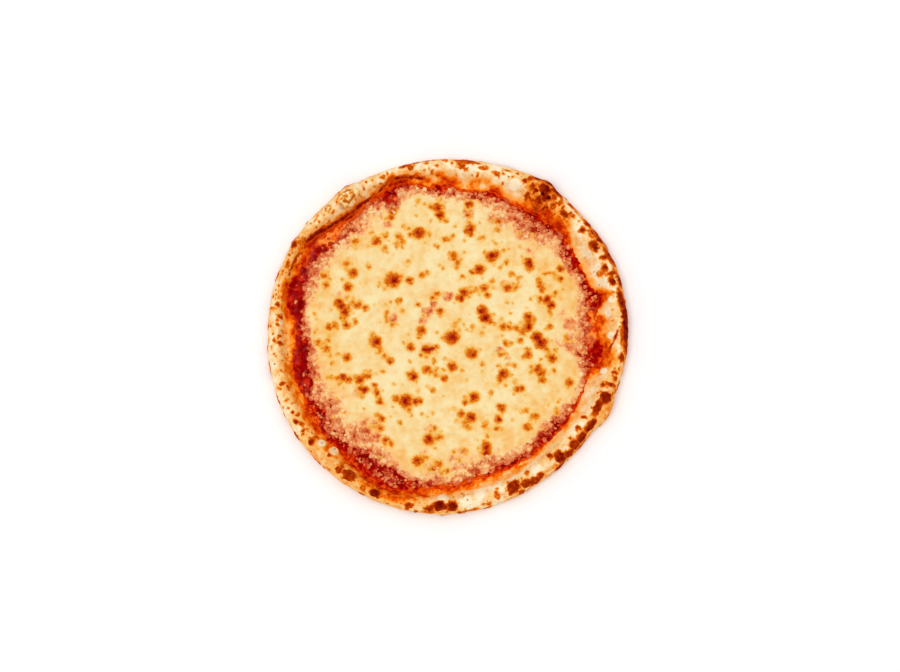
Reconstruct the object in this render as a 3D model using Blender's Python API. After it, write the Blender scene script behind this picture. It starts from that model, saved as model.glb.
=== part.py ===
"""A whole margherita pizza, uncut: a baked dough disc with a puffed rim, a layer of tomato sauce and a
sheet of melted mozzarella. Each layer is one closed solid that runs right across the pizza.

The origin is the centre of the resting face, +Z is up. Bearings are in degrees, counter-clockwise from +X.
"""

import math

import bmesh
import bpy
from mathutils import Vector

MM = 0.001
FACETS = 120  # round the pizza, shared by the three layers so that their facets stay parallel
GAP = 0.3 * MM  # between two layers

# ---- Dough ----
BASE_THICKNESS = 4.0 * MM
WIDEST_SHARE = 0.42  # height of the rim's widest line, as a share of the rim's height
CONTACT_INSET = 7.0 * MM  # from the widest line to where the rim touches the table
CORE_INSET = 11.0 * MM  # bubbles swell away from this line inside the rim
BUBBLE_MARGIN = 4.0 * MM  # distance over which bubbles rise from the sauce's edge

# Bearing and radius, mm: the outline bulges, and lies flat where the dough was pressed.
RIM_OUTLINE = (
    (0, 149.5), (20, 151.5), (48, 152), (59, 155), (68, 152.5), (90, 150.5), (118, 151), (125, 153),
    (132, 151.5), (150, 152), (180, 150), (210, 152), (250, 152.5), (270, 151.5), (290, 148),
    (308, 145.8), (325, 145), (332, 150), (341, 148), (350, 149),
)
# Bearing and height of the crest, mm.
RIM_HEIGHT = (
    (0, 15), (25, 16.5), (45, 15), (58, 18), (72, 15), (90, 14.5), (110, 13), (125, 16), (140, 13.5),
    (165, 12.5), (190, 13.5), (215, 13), (235, 15), (248, 13), (268, 15.5), (282, 14), (296, 16),
    (312, 15.5), (324, 14.5), (336, 17.5), (348, 15),
)
# Bearing and inset of the crest from the outline, mm.
CREST_INSET = (
    (0, 9), (50, 10), (85, 9), (108, 6), (125, 9), (146, 6), (166, 5.5), (180, 8), (210, 8), (232, 8),
    (248, 5.5), (266, 8), (300, 9.5), (338, 10.5), (351, 8),
)
# Bearing and inset of the foot of the rim's inner slope from the outline, mm.
FOOT_INSET = (
    (0, 23), (30, 24), (60, 26), (90, 20), (110, 14), (125, 21), (145, 14), (166, 15), (190, 18),
    (225, 20), (248, 14), (268, 20), (300, 23), (338, 27), (352, 20),
)
# Bubbles in the rim: bearing, inset from the outline, radius and rise, all lengths in mm.
BUBBLES = (
    (4, 8, 11, 1.8), (19, 8, 9, 2.0), (31, 9, 10, 2.2), (46, 12, 9, 1.8), (57, 9, 14, 3.0),
    (70, 11, 9, 1.2), (84, 8, 10, 1.8), (103, 7, 9, 1.2), (124, 9, 11, 2.6), (149, 6, 8, 1.8),
    (182, 8, 9, 1.5), (204, 8, 10, 1.2), (219, 8, 8, 1.8), (235, 8, 11, 2.2), (246, 7, 8, 1.8),
    (268, 8, 11, 2.4), (293, 9, 12, 2.4), (312, 10, 11, 2.2), (324, 8, 10, 1.6), (337, 9, 11, 2.4),
)
LOWER_BANDS = 3
UPPER_BANDS = 4
SLOPE_BANDS = 4

# ---- Tomato sauce ----
SAUCE_THICKNESS = 1.2 * MM
SAUCE_EDGE_THICKNESS = 0.5 * MM
SAUCE_CLEARANCE = 3.5 * MM  # the sauce stops this far inside the crest
SAUCE_LIP = 2.5 * MM  # and shows at least this far outside the cheese
# Bearing and radius of the sauce's edge, mm.
SAUCE_EDGE = (
    (0, 128), (9, 127), (14, 136), (19, 128), (30, 127), (42, 130), (62, 127.5), (72, 131), (85, 129),
    (93, 135), (97, 132), (104, 139), (111, 141), (118, 135), (127, 132), (138, 138), (146, 139),
    (151, 136), (158, 139), (166, 141.5), (171, 137), (175, 131), (183, 131.5), (192, 135), (203, 132.5),
    (222, 136), (230, 134.5), (240, 140), (247, 142), (255, 138), (264, 134), (272, 131), (292, 128.5),
    (306, 126), (330, 125.5), (341, 123), (346, 125), (351, 131), (356, 132),
)

# ---- Mozzarella ----
CHEESE_THICKNESS = 2.4 * MM
CHEESE_EDGE_THICKNESS = 0.8 * MM
CHEESE_ROUNDING = 7.0 * MM  # width over which the top falls to the edge
WAVE_HEIGHT = 0.45 * MM  # where shreds melted over one another
WAVE_LENGTH = 84.0 * MM
# Bearing and radius of the cheese's edge, mm.
CHEESE_EDGE = (
    (0, 120), (20, 122), (34, 119), (42, 125), (56, 119.5), (68, 125), (85, 126), (93, 121.5), (103, 132),
    (113, 121), (121, 131), (137, 124), (150, 126.5), (170, 125), (186, 116.5), (206, 125.5), (212, 119),
    (220, 130.5), (228, 126), (254, 129.5), (265, 125.5), (271, 128), (292, 117.5), (310, 117.5),
    (328, 119), (338, 120.5), (349, 114.5),
)

# Rings of the two surfaces where layers meet, as shares of the way from the centre to the cheese's edge,
# and then from the cheese's edge to the sauce's.
RINGS_UNDER_CHEESE = (0.5, 0.86, 1.0)
RINGS_OF_BARE_SAUCE = (0.5, 1.0)
RINGS_OF_CHEESE_TOP = (0.12, 0.24, 0.36, 0.48, 0.6, 0.72, 0.83, 0.91, 0.96, 1.0)
RINGS_OF_UNDERSIDE = (0.45, 0.8)


def around(knots, bearing):
    """The smooth closed curve through (bearing, value) knots, read at a bearing."""
    bearing %= 360
    last = len(knots)
    after = next((i for i, knot in enumerate(knots) if knot[0] > bearing), last)
    near = [knots[(after + i) % last] for i in (-2, -1, 0, 1)]
    places = [near[1][0] + (near[i][0] - near[1][0] + 180) % 360 - 180 for i in range(4)]
    values = [knot[1] for knot in near]
    span = places[2] - places[1]
    slope_in = (values[2] - values[0]) / (places[2] - places[0]) * span
    slope_out = (values[3] - values[1]) / (places[3] - places[1]) * span
    t = ((bearing - places[1] + 180) % 360 - 180) / span
    return (
        (2 * t**3 - 3 * t**2 + 1) * values[1]
        + (t**3 - 2 * t**2 + t) * slope_in
        + (3 * t**2 - 2 * t**3) * values[2]
        + (t**3 - t**2) * slope_out
    )


def ease(share):
    share = max(0.0, min(1.0, share))
    return share * share * (3 - 2 * share)


def outline(bearing):
    return around(RIM_OUTLINE, bearing) * MM


def crest_radius(bearing):
    return outline(bearing) - around(CREST_INSET, bearing) * MM


def cheese_edge(bearing):
    return around(CHEESE_EDGE, bearing) * MM


def sauce_edge(bearing):
    wanted = max(around(SAUCE_EDGE, bearing) * MM, cheese_edge(bearing) + SAUCE_LIP)
    return min(wanted, crest_radius(bearing) - SAUCE_CLEARANCE)


def dough_top(bearing, radius):
    """Height of the dough from the centre out to the crest, before its bubbles."""
    foot = outline(bearing) - around(FOOT_INSET, bearing) * MM
    climb = ease((radius - foot) / (crest_radius(bearing) - foot))
    return BASE_THICKNESS + (around(RIM_HEIGHT, bearing) * MM - BASE_THICKNESS) * climb


def sauce_top(bearing, radius):
    cheese = cheese_edge(bearing)
    thinning = ease((radius - cheese) / (sauce_edge(bearing) - cheese))
    thickness = SAUCE_THICKNESS + (SAUCE_EDGE_THICKNESS - SAUCE_THICKNESS) * thinning
    return dough_top(bearing, radius) + GAP + thickness


def cheese_top(bearing, radius):
    angle = math.radians(bearing)
    x, y = radius * math.cos(angle), radius * math.sin(angle)
    turn = 2 * math.pi / WAVE_LENGTH
    wave = WAVE_HEIGHT * (math.sin(turn * (x + 0.4 * y)) * math.cos(turn * (0.8 * y - 0.3 * x)))
    inside = ease((cheese_edge(bearing) - radius) / CHEESE_ROUNDING)
    thickness = CHEESE_EDGE_THICKNESS + (CHEESE_THICKNESS + wave - CHEESE_EDGE_THICKNESS) * inside
    return sauce_top(bearing, radius) + GAP + thickness


def bubble_rise(bearing, inset):
    """How far the rim swells at this inset from its outline."""
    rise = 0.0
    for place, depth, radius, height in BUBBLES:
        along = math.radians((bearing - place + 180) % 360 - 180) * outline(bearing) / MM
        away = math.hypot(along, inset / MM - depth) / radius
        rise += height * max(0.0, 1 - away * away) ** 2
    return rise * MM


def swelled(bearing, radius, height):
    """A point of the rim, pushed up and out from the rim's core by the bubbles near it."""
    top = around(RIM_HEIGHT, bearing) * MM
    core_radius, core_height = outline(bearing) - CORE_INSET, WIDEST_SHARE * top
    away = Vector((max(0.0, radius - core_radius), max(0.0, height - core_height))).normalized()
    weight = ease(height / core_height) * ease((radius - sauce_edge(bearing)) / BUBBLE_MARGIN)
    moved = away * bubble_rise(bearing, outline(bearing) - radius) * weight
    return radius + moved.x, height + moved.y


def rim_section(bearing):
    """(radius, height) from just outside the sauce, over the crest and down the wall to the table."""
    out, top = outline(bearing), around(RIM_HEIGHT, bearing) * MM
    crest, start, widest = crest_radius(bearing), sauce_edge(bearing), WIDEST_SHARE * top
    points = []
    for band in range(1, SLOPE_BANDS):
        radius = start + (crest - start) * band / SLOPE_BANDS
        points.append((radius, dough_top(bearing, radius)))
    for band in range(UPPER_BANDS):
        turn = math.pi / 2 * band / UPPER_BANDS
        points.append((crest + (out - crest) * math.sin(turn), widest + (top - widest) * math.cos(turn)))
    for band in range(LOWER_BANDS + 1):
        turn = math.pi / 2 * band / LOWER_BANDS
        points.append((out - CONTACT_INSET * (1 - math.cos(turn)), widest * (1 - math.sin(turn))))
    return [swelled(bearing, *point) for point in points]


def shared_radii(bearing, bare_sauce=True):
    """Radii of the rings in which neighbouring layers' facets agree."""
    cheese = cheese_edge(bearing)
    radii = [share * cheese for share in RINGS_UNDER_CHEESE]
    if bare_sauce:
        radii += [cheese + share * (sauce_edge(bearing) - cheese) for share in RINGS_OF_BARE_SAUCE]
    return radii


def layer(name, section_at, colour, roughness):
    """A solid of revolution whose section varies: section_at(bearing) runs from the top's centre, over the
    edge, to the underside's centre. Its first and last points lie on the axis."""
    mesh = bmesh.new()
    bearings = [360 * i / FACETS for i in range(FACETS)]
    sections = [section_at(bearing) for bearing in bearings]
    top = mesh.verts.new((0, 0, sections[0][0][1]))
    rings = []
    for k in range(1, len(sections[0]) - 1):
        ring = []
        for bearing, section in zip(bearings, sections):
            angle = math.radians(bearing)
            radius, height = section[k]
            ring.append(mesh.verts.new((radius * math.cos(angle), radius * math.sin(angle), height)))
        rings.append(ring)
    bottom = mesh.verts.new((0, 0, sections[0][-1][1]))
    for i in range(FACETS):
        j = (i + 1) % FACETS
        mesh.faces.new((top, rings[0][i], rings[0][j]))
        for before, after in zip(rings, rings[1:]):
            # One diagonal for both sides of a gap, whichever way the section runs.
            outward = before[i].co.xy.length < after[i].co.xy.length
            inner, outer = (before, after) if outward else (after, before)
            mesh.faces.new((inner[i], outer[i], outer[j]))
            mesh.faces.new((inner[i], outer[j], inner[j]))
        mesh.faces.new((rings[-1][i], bottom, rings[-1][j]))
    bmesh.ops.recalc_face_normals(mesh, faces=mesh.faces)
    data = bpy.data.meshes.new(name)
    mesh.to_mesh(data)
    mesh.free()
    data.shade_smooth()
    material = bpy.data.materials.new(name)
    material.use_nodes = True
    shader = material.node_tree.nodes["Principled BSDF"]
    shader.inputs["Base Color"].default_value = (*colour, 1)
    shader.inputs["Roughness"].default_value = roughness
    material.diffuse_color = (*colour, 1)
    data.materials.append(material)
    piece = bpy.data.objects.new(name, data)
    bpy.context.scene.collection.objects.link(piece)
    return piece


def crust_section(bearing):
    """The dough: floor under the sauce, rim, and a flat underside."""
    floor = [(radius, dough_top(bearing, radius)) for radius in shared_radii(bearing)]
    rim = rim_section(bearing)
    contact = rim[-1][0]
    underside = [(share * contact, 0.0) for share in reversed(RINGS_OF_UNDERSIDE)]
    return [(0, BASE_THICKNESS), *floor, *rim, *underside, (0, 0.0)]


def sauce_section(bearing):
    """The sauce: it lies on the floor and climbs the foot of the rim's slope."""
    radii = shared_radii(bearing)
    over = [(radius, sauce_top(bearing, radius)) for radius in radii]
    under = [(radius, dough_top(bearing, radius) + GAP) for radius in reversed(radii)]
    return [(0, sauce_top(bearing, 0)), *over, *under, (0, BASE_THICKNESS + GAP)]


def cheese_section(bearing):
    """The mozzarella: a waved sheet that rounds off towards its ragged edge."""
    edge = cheese_edge(bearing)
    over = [(share * edge, cheese_top(bearing, share * edge)) for share in RINGS_OF_CHEESE_TOP]
    radii = shared_radii(bearing, bare_sauce=False)
    under = [(radius, sauce_top(bearing, radius) + GAP) for radius in reversed(radii)]
    return [(0, cheese_top(bearing, 0)), *over, *under, (0, sauce_top(bearing, 0) + GAP)]


for startup_object in list(bpy.data.objects):
    bpy.data.objects.remove(startup_object)

crust = layer("crust", crust_section, (0.90, 0.66, 0.40), 0.75)
tomato_sauce = layer("tomato_sauce", sauce_section, (0.42, 0.02, 0.01), 0.3)
mozzarella = layer("mozzarella", cheese_section, (0.95, 0.76, 0.42), 0.4)

# The dough is uneven, so the three layers move together to put the origin under the middle of its box.
corners = [Vector(corner) for corner in crust.bound_box]
middle = (min(corners, key=sum) + max(corners, key=sum)) / 2
for piece in (crust, tomato_sauce, mozzarella):
    piece.location = (-middle.x, -middle.y, 0)
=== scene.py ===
"""A whole baked margherita pizza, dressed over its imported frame: the dough with its blistered rim, the
tomato sauce, the melted mozzarella and what lies loose on them. Shapes are worked out in millimetres, in
the dough's own frame, and put in metres where each mesh is made. Bearings are in degrees, counter-clockwise
from +X.
"""

import math

import bpy
import numpy as np
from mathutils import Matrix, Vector, noise


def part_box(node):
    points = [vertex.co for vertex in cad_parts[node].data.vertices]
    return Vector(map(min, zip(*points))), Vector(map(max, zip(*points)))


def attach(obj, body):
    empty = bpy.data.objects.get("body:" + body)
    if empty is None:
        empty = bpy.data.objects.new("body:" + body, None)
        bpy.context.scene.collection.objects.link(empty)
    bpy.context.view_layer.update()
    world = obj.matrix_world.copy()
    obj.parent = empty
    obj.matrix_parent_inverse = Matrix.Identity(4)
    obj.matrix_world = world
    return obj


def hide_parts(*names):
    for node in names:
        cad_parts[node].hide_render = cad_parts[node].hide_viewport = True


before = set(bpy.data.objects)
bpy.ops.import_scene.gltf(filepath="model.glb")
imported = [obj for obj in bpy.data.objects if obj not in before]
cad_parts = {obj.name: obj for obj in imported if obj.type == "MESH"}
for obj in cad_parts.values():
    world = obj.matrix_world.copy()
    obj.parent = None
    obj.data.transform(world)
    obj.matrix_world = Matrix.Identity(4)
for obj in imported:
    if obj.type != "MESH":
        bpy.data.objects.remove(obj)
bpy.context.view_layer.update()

# ---- Crust ----
# A disc of leavened dough, stretched by hand and baked on a hot stone: a thin floor with a puffed rim.
# The oven blistered the rim and charred the tops of its bubbles; its inner slope took up oil from the sauce.

MM = 0.001
ROUND = 1080  # points round the rim
RIM_MIDDLE = 146  # a radius on the rim, to measure lengths round it by
DEGREE = 2.5  # about the length of one degree round the rim
BASE_THICKNESS = 4.0
WIDEST_SHARE = 0.42  # height of the rim's widest line, as a share of the rim's height
CONTACT_INSET = 7.0  # from the widest line to where the rim touches the table
CORE_INSET = 11.0  # bubbles swell away from this line inside the rim
BUBBLE_MARGIN = 4.0
SLOPE_START = 11.0  # the fine mesh starts this far inside the sauce's edge
SLOPE_ROWS, SHOULDER_ROWS, FLANK_ROWS = 40, 21, 14
UNDERSIDE_RINGS = 60
STONE_HOLLOW = 0.5  # how far the underside's hollows stay off the table
NO_SCORCH = -4.0  # the scorch depth of dough that isn't browned at all
SCORCH_MARGIN = 6  # how far outside a scorched blister its glow can reach
BLISTER_RISE = 0.6  # how far a scorched blister stands up
CURL_RISE = 0.4
STAIN_FADE = 3.5  # how far the oil's stain fades on both sides of its edge
BROWNED_DOWN_TO = 182  # the second radius, low on the rim's outside, where the flame's browning ends

# Bearing and radius: the outline bulges, and lies flat where the dough was pressed.
RIM_OUTLINE = (
    (0, 149.5), (20, 151.5), (48, 152), (57, 154), (68, 152.8), (90, 150.5), (118, 151), (125, 153),
    (132, 151.5), (150, 152), (180, 150), (210, 152), (250, 152.5), (270, 151.5), (290, 148), (308, 145.8),
    (325, 145), (332, 150), (341, 148), (350, 149),
)
# Bearing and height of the crest.
RIM_HEIGHT = (
    (0, 15), (25, 16.5), (45, 15), (58, 18), (72, 15), (90, 14.5), (110, 13), (125, 16), (140, 13.5),
    (165, 12.5), (190, 13.5), (215, 13), (235, 15), (248, 13), (268, 15.5), (282, 14), (296, 16),
    (312, 15.5), (324, 14.5), (336, 17.5), (348, 15),
)
# Bearing and inset of the crest from the outline.
CREST_INSET = (
    (0, 9), (50, 10), (85, 9), (108, 6), (125, 9), (146, 6), (166, 5.5), (180, 8), (210, 8), (232, 8),
    (248, 5.5), (266, 8), (300, 9.5), (338, 10.5), (351, 8),
)
# Bearing and inset of the foot of the rim's inner slope from the outline.
FOOT_INSET = (
    (0, 23), (30, 24), (60, 26), (90, 20), (110, 14), (125, 21), (145, 14), (166, 15), (190, 18), (225, 20),
    (248, 14), (268, 20), (300, 23), (338, 27), (352, 20),
)
# Bubbles in the rim: bearing, inset from the outline, radius and rise.
BUBBLES = (
    (4, 8, 11, 1.8), (19, 8, 9, 2.0), (31, 9, 10, 2.2), (46, 12, 9, 1.8), (57, 9, 14, 2.6),
    (70, 11, 9, 1.2), (84, 8, 10, 1.8), (103, 7, 9, 1.2), (124, 9, 11, 2.6), (149, 6, 8, 1.8),
    (182, 8, 9, 1.5), (204, 8, 10, 1.2), (219, 8, 8, 1.8), (235, 8, 11, 2.2), (246, 7, 8, 1.8),
    (268, 8, 11, 2.4), (293, 9, 12, 2.4), (312, 10, 11, 2.2), (324, 8, 10, 1.6), (337, 9, 11, 2.4),
)
# Bearing and radius of the sauce's edge, which the rim's shape depends on.
SAUCE_CLEARANCE = 3.5
SAUCE_LIP = 2.5
SAUCE_EDGE = (
    (0, 128), (9, 127), (14, 136), (19, 128), (30, 127), (42, 130), (62, 127.5), (72, 131), (85, 129),
    (93, 135), (97, 132), (104, 139), (111, 141), (118, 135), (127, 132), (138, 138), (146, 139),
    (151, 136), (158, 139), (166, 141.5), (171, 137), (175, 131), (183, 131.5), (192, 135), (203, 132.5),
    (222, 136), (230, 134.5), (240, 140), (247, 142), (255, 138), (264, 134), (272, 131), (292, 128.5),
    (306, 126), (330, 125.5), (341, 123), (346, 125), (351, 131), (356, 132),
)
# Bearing and radius of the cheese's edge.
CHEESE_EDGE = (
    (0, 118), (10, 119.5), (20, 122), (34, 120), (42, 125), (56, 119.5), (68, 125), (85, 126), (93, 122.5),
    (103, 133), (112, 124), (121, 133), (137, 124), (150, 126.5), (170, 125), (186, 116.5), (206, 125.5),
    (212, 121), (220, 130.5), (228, 126), (254, 129), (264, 127), (271, 130), (283, 120), (294, 116.5),
    (305, 120), (315, 116.5), (328, 119.5), (338, 121.5), (345, 119.5), (351, 114.5),
)

# Scorched blisters on the rim: bearing, radius, half their length round the rim, half their width across it,
# and how deep the brown goes, from 0.1 for tan to 3 for nearly black.
SCORCHES = (
    (2.5, 148, 21, 4.4, 2.6), (11, 147, 9, 3.2, 1.8), (359, 144.8, 6, 1.4, 0.7),
    (17.8, 143.6, 3.6, 2.4, 1.8), (17.4, 149.5, 5, 2.2, 2), (20.4, 146.6, 1.8, 5, 1.2),
    (22.8, 142, 3, 2.4, 1.5), (22, 137.5, 2, 2.8, 0.1), (26.5, 149.5, 8, 2.6, 2),
    (26.3, 144.5, 2.1, 2.8, 1.3), (31.4, 142.6, 5.4, 3.2, 1.7), (32.6, 149, 4, 3, 1.8),
    (35.5, 147.5, 4, 3, 0.2), (38.2, 142.3, 2.3, 2.8, 1.5), (38.8, 149.5, 4, 2.4, 1.8),
    (46.3, 140.6, 4.4, 2.5, 1.7), (45, 143.6, 1, 2.4, 1.2), (48.2, 143.6, 1, 2.4, 1.2),
    (46.9, 150.6, 3.5, 1, 1.2), (43.7, 144.6, 1.5, 1.8, 0.3), (50, 146, 1.5, 3, 0.5),
    (53, 150.7, 5, 2.4, 2.4), (56.5, 147, 5.5, 4, 2.4), (55, 141.5, 4, 3.2, 2.2), (56.5, 153, 5, 2.6, 2.8),
    (60.6, 151.5, 4.5, 2.4, 2), (60.5, 143, 2, 2.6, 1.3), (63.7, 144.7, 1.6, 2, 1.2),
    (59, 140.3, 1.5, 2, 1.3), (56.5, 137, 2.5, 3, 1.2), (53.5, 134.6, 1.4, 3.5, 1.5),
    (56, 131, 2.5, 3, 0.9), (58.3, 134.5, 1.2, 2, 1), (51, 140, 2, 3.5, 0.6), (60.7, 135.5, 1.6, 3, 0.8),
    (52.5, 145, 2, 3, 0.8), (62.5, 148, 2, 2.5, 0.8), (67, 148.6, 1, 1.2, 0.6), (70.5, 148, 2, 1, 0.5),
    (73.4, 142.7, 2.2, 1.4, 0.4), (78, 144.5, 2.8, 1.2, 0.4), (79.7, 138.3, 0.8, 1.4, 0.6),
    (84, 140.8, 1.4, 1.4, 0.5), (84, 148.4, 9, 3, 0.6), (85.6, 145, 3.4, 3, 0.5), (91, 149, 1.5, 2, 0.4),
    (97, 147.3, 1.2, 1, 0.4), (103.8, 148.2, 5, 2, 0.6), (102.4, 145, 1.8, 1.8, 0.5),
    (110.3, 145.5, 0.7, 1.5, 1), (112, 145, 1.6, 1.2, 0.2), (149.2, 149.4, 3.2, 2.6, 1.3),
    (147, 145.5, 4, 2.2, 0.1), (154, 142.6, 7, 1, 0.6), (156, 146.3, 3, 1.4, 0.5),
    (153, 148.5, 0.9, 1.2, 0.7), (158.6, 148, 1, 1, 0.6), (169.9, 144, 1.5, 1.6, 1),
    (171.5, 148, 0.8, 3, 0.4), (174, 140.5, 1.5, 1.9, 0.8), (176.8, 142, 1, 1.1, 0.7),
    (177.4, 147.4, 1, 0.9, 0.6), (182.2, 144.5, 1.6, 1, 0.4), (183.3, 140.3, 1.9, 2.4, 1),
    (180.8, 139.8, 1, 1.6, 0.5), (197.2, 143.5, 1.3, 3, 1), (199, 140.2, 2.4, 1.1, 0.8),
    (203, 145, 0.9, 1.6, 0.4), (207.5, 145, 1.1, 1.3, 1), (210.6, 146.6, 2.4, 1.7, 1),
    (212.3, 143.5, 1.9, 1.6, 1.1), (214.3, 145.3, 0.9, 1.3, 1), (215.4, 147.8, 0.9, 1.7, 1),
    (208.8, 142.5, 1.2, 1.5, 0.4), (219.3, 145.6, 2.6, 3.4, 1.8), (218.6, 141, 1.3, 2.5, 0.9),
    (226.3, 141.6, 1.9, 2.3, 0.7), (232, 146, 3, 3.8, 1), (236, 145.6, 5.6, 4.5, 1.2),
    (231.5, 141, 1.5, 2, 0.3), (241.8, 148.5, 2, 2.8, 0.5), (246, 148, 5, 4, 2), (257.5, 149, 3, 2.4, 0.9),
    (264, 149, 3.6, 2.7, 2.2), (267.5, 147, 6, 4.4, 3.2), (271.5, 146.8, 4.5, 4.4, 3),
    (277, 150, 2, 1, 0.4), (283.4, 147.5, 2, 1.5, 0.1), (286.5, 143.2, 2.3, 2.8, 0.2),
    (292.3, 142.2, 5.6, 5.6, 1.3), (294.5, 147, 2.5, 3, 1), (293.5, 139.6, 3.4, 3.2, 1.8),
    (297, 143, 4.6, 3.6, 1.2), (300, 144.4, 4.4, 4, 1.2), (302.5, 143, 2.6, 3.2, 0.9),
    (298.8, 135.6, 1.7, 1.7, 0.5), (309.3, 145.5, 5, 3, 1.6), (311.5, 140.6, 4.4, 6.6, 2),
    (309, 134.2, 2, 3, 1.3), (314.5, 142.5, 4.8, 3.4, 1.4), (318, 141, 4.8, 3.8, 1.5),
    (321.4, 141.4, 5, 3.6, 1.6), (319.5, 146.8, 5, 1.6, 1.6), (323.3, 135, 1.8, 1.8, 0.7),
    (327.7, 133.6, 1.3, 2.2, 0.7), (318.8, 134.5, 1, 1.6, 0.3), (326.5, 141.6, 7, 3.4, 1.8),
    (333, 139.4, 7.6, 2.8, 1.3), (337, 142.6, 5.4, 5.2, 2.2), (342, 142, 1.6, 5, 1.2),
    (341, 136.4, 2, 2.2, 1), (346.3, 142.5, 1.5, 3, 1), (344.5, 144, 2, 1.6, 0.7), (352, 146, 3, 3.5, 1.2),
    (355.8, 148.4, 5, 2, 1.4),
)
# Where the oven's flame browned the whole rim between the blisters: bearing, half width in degrees, the
# radius where the brown begins, and how strong it is.
BURNT_ZONES = (
    (56.3, 6.4, 131, 1.08), (66, 4, 145, 0.35), (44, 7, 147, 0.55), (31, 9, 145, 0.8), (18, 8, 145.5, 0.9),
    (5, 10, 143.5, 1), (352, 7, 144, 0.75), (338, 8, 139, 0.75), (322, 9, 139.5, 0.6), (308, 7, 139, 0.6),
    (294, 7, 139.5, 0.6), (268, 7, 145, 0.55), (246, 7, 147, 0.5), (234, 7, 145, 0.45), (218, 5, 144, 0.3),
    (85, 6, 146, 0.35),
)
# Folds in the rim: bearing and radius along each, the depth of the groove and its half width.
FOLDS = (
    (((98, 136), (103, 139), (109, 141.5), (113, 138), (118, 135), (123, 133.6)), 0.8, 1.6),
    (((120, 134.4), (125, 133), (130, 133), (136, 136), (141, 139.5), (146, 142.5)), 1.3, 2.1),
    (((150, 141), (154, 142.8), (159, 142)), 0.7, 0.8),
    (((354.3, 133), (356.3, 136.5), (358, 138.6), (360.8, 141)), 0.8, 1.4),
    (((340, 136), (342, 140), (342.5, 145)), 0.5, 0.8),
    (((20, 150), (40, 150.5), (52, 150)), 0.5, 0.7),
)
# Torn bubbles whose skin curled up: bearing, radius, reach and the distance between their ridges.
CURLS = ((126, 143.5, 9, 4.8), (133.6, 147, 4.4, 3.4))
# Smooth pale bubbles low on the rim, which the oil ran round: bearing, radius, half their width and rise.
PALE_BUBBLES = (
    (221.5, 139.5, 4.4, 1.5), (226.2, 136.8, 5, 1.5), (359.6, 135, 3.2, 1.1), (268, 138.6, 4, 0.9),
    (346.5, 133, 3.5, 0.9), (303, 137, 3, 0.6), (12, 139, 3, 0.7), (66.5, 139, 5, 0.6),
)
# Bearing and how golden the dough is there, from 0 for pale cream to 1 for gold.
GOLD = (
    (0, 0.25), (25, 0.3), (60, 0.35), (75, 0.22), (90, 0.22), (105, 0.2), (120, 0.4), (135, 0.5),
    (150, 0.6), (165, 0.5), (180, 0.35), (195, 0.3), (210, 0.5), (225, 0.85), (240, 0.8), (262, 0.4),
    (280, 0.2), (300, 0.35), (335, 0.4),
)
# Bearing and radius of the outer edge of the oil's stain on the dough, and how strong the stain is.
STAIN_EDGE = (
    (0, 131), (4, 136), (8, 129), (11, 130), (14, 140), (18, 131), (25, 129), (35, 129), (39, 132),
    (44, 139.5), (49, 140), (52, 139), (60, 138), (63, 131), (69, 130), (72, 135), (80, 136), (84, 132),
    (88, 136), (93, 138.5), (97, 136), (100, 139), (108, 143), (113, 138), (120, 135), (130, 134),
    (138, 138), (144, 142), (148, 144), (152, 142), (160, 142.5), (166, 143), (170, 141), (173, 137),
    (180, 136), (186, 136), (192, 138), (205, 140), (214, 141), (220, 142), (227, 141), (233, 139),
    (237, 145), (242, 151), (250, 152.5), (257, 150), (262, 143), (266, 137), (275, 134), (282, 131),
    (295, 130), (305, 126), (312, 126), (319, 126.5), (330, 126.5), (338, 122), (343, 127), (347, 138),
    (351, 142), (356, 138),
)
STAIN_STRENGTH = (
    (0, 0.9), (14, 0.9), (20, 0.5), (36, 0.5), (41, 1.05), (49, 1.08), (60, 1.12), (66, 0.6), (72, 0.8),
    (84, 0.7), (88, 0.8), (97, 0.85), (108, 1.1), (120, 1.3), (135, 1.4), (150, 1.25), (166, 1.05),
    (176, 0.9), (190, 0.9), (215, 0.95), (222, 1), (230, 1.05), (238, 0.95), (258, 0.92), (268, 0.8),
    (276, 0.7), (284, 0.5), (300, 0.55), (310, 0.5), (322, 0.5), (334, 0.3), (340, 0.1), (346, 0.8),
    (352, 1),
)


def around(knots, bearing):
    """The smooth closed curve through (bearing, value) knots, read at an array of bearings."""
    places, values = np.array(knots, float).T
    places = np.concatenate([places[-2:] - 360, places, places[:3] + 360])
    values = np.concatenate([values[-2:], values, values[:3]])
    slopes = np.zeros_like(values)
    slopes[1:-1] = (values[2:] - values[:-2]) / (places[2:] - places[:-2])
    bearing = np.asarray(bearing, float) % 360
    i = np.searchsorted(places, bearing, side="right") - 1
    span = places[i + 1] - places[i]
    t = (bearing - places[i]) / span
    return (
        (2 * t**3 - 3 * t**2 + 1) * values[i]
        + (t**3 - 2 * t**2 + t) * slopes[i] * span
        + (3 * t**2 - 2 * t**3) * values[i + 1]
        + (t**3 - t**2) * slopes[i + 1] * span
    )


def ease(share):
    share = np.clip(share, 0, 1)
    return share * share * (3 - 2 * share)


def lumps(points, size, octaves=1, seed=0.0):
    """Smooth noise from about -1 to 1; size is the width of a lump."""
    places = (np.asarray(points) / size + seed).tolist()
    if octaves == 1:
        return np.array([noise.noise(place) for place in places])
    return np.array([noise.fractal(place, 0.9, 2.1, octaves) for place in places])


def outline(bearing):
    return around(RIM_OUTLINE, bearing)


def crest_radius(bearing):
    return outline(bearing) - around(CREST_INSET, bearing)


def cheese_edge(bearing):
    return around(CHEESE_EDGE, bearing)


def sauce_edge(bearing):
    wanted = np.maximum(around(SAUCE_EDGE, bearing), cheese_edge(bearing) + SAUCE_LIP)
    return np.minimum(wanted, crest_radius(bearing) - SAUCE_CLEARANCE)


def slope_foot(bearing):
    return sauce_edge(bearing) - SLOPE_START


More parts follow.
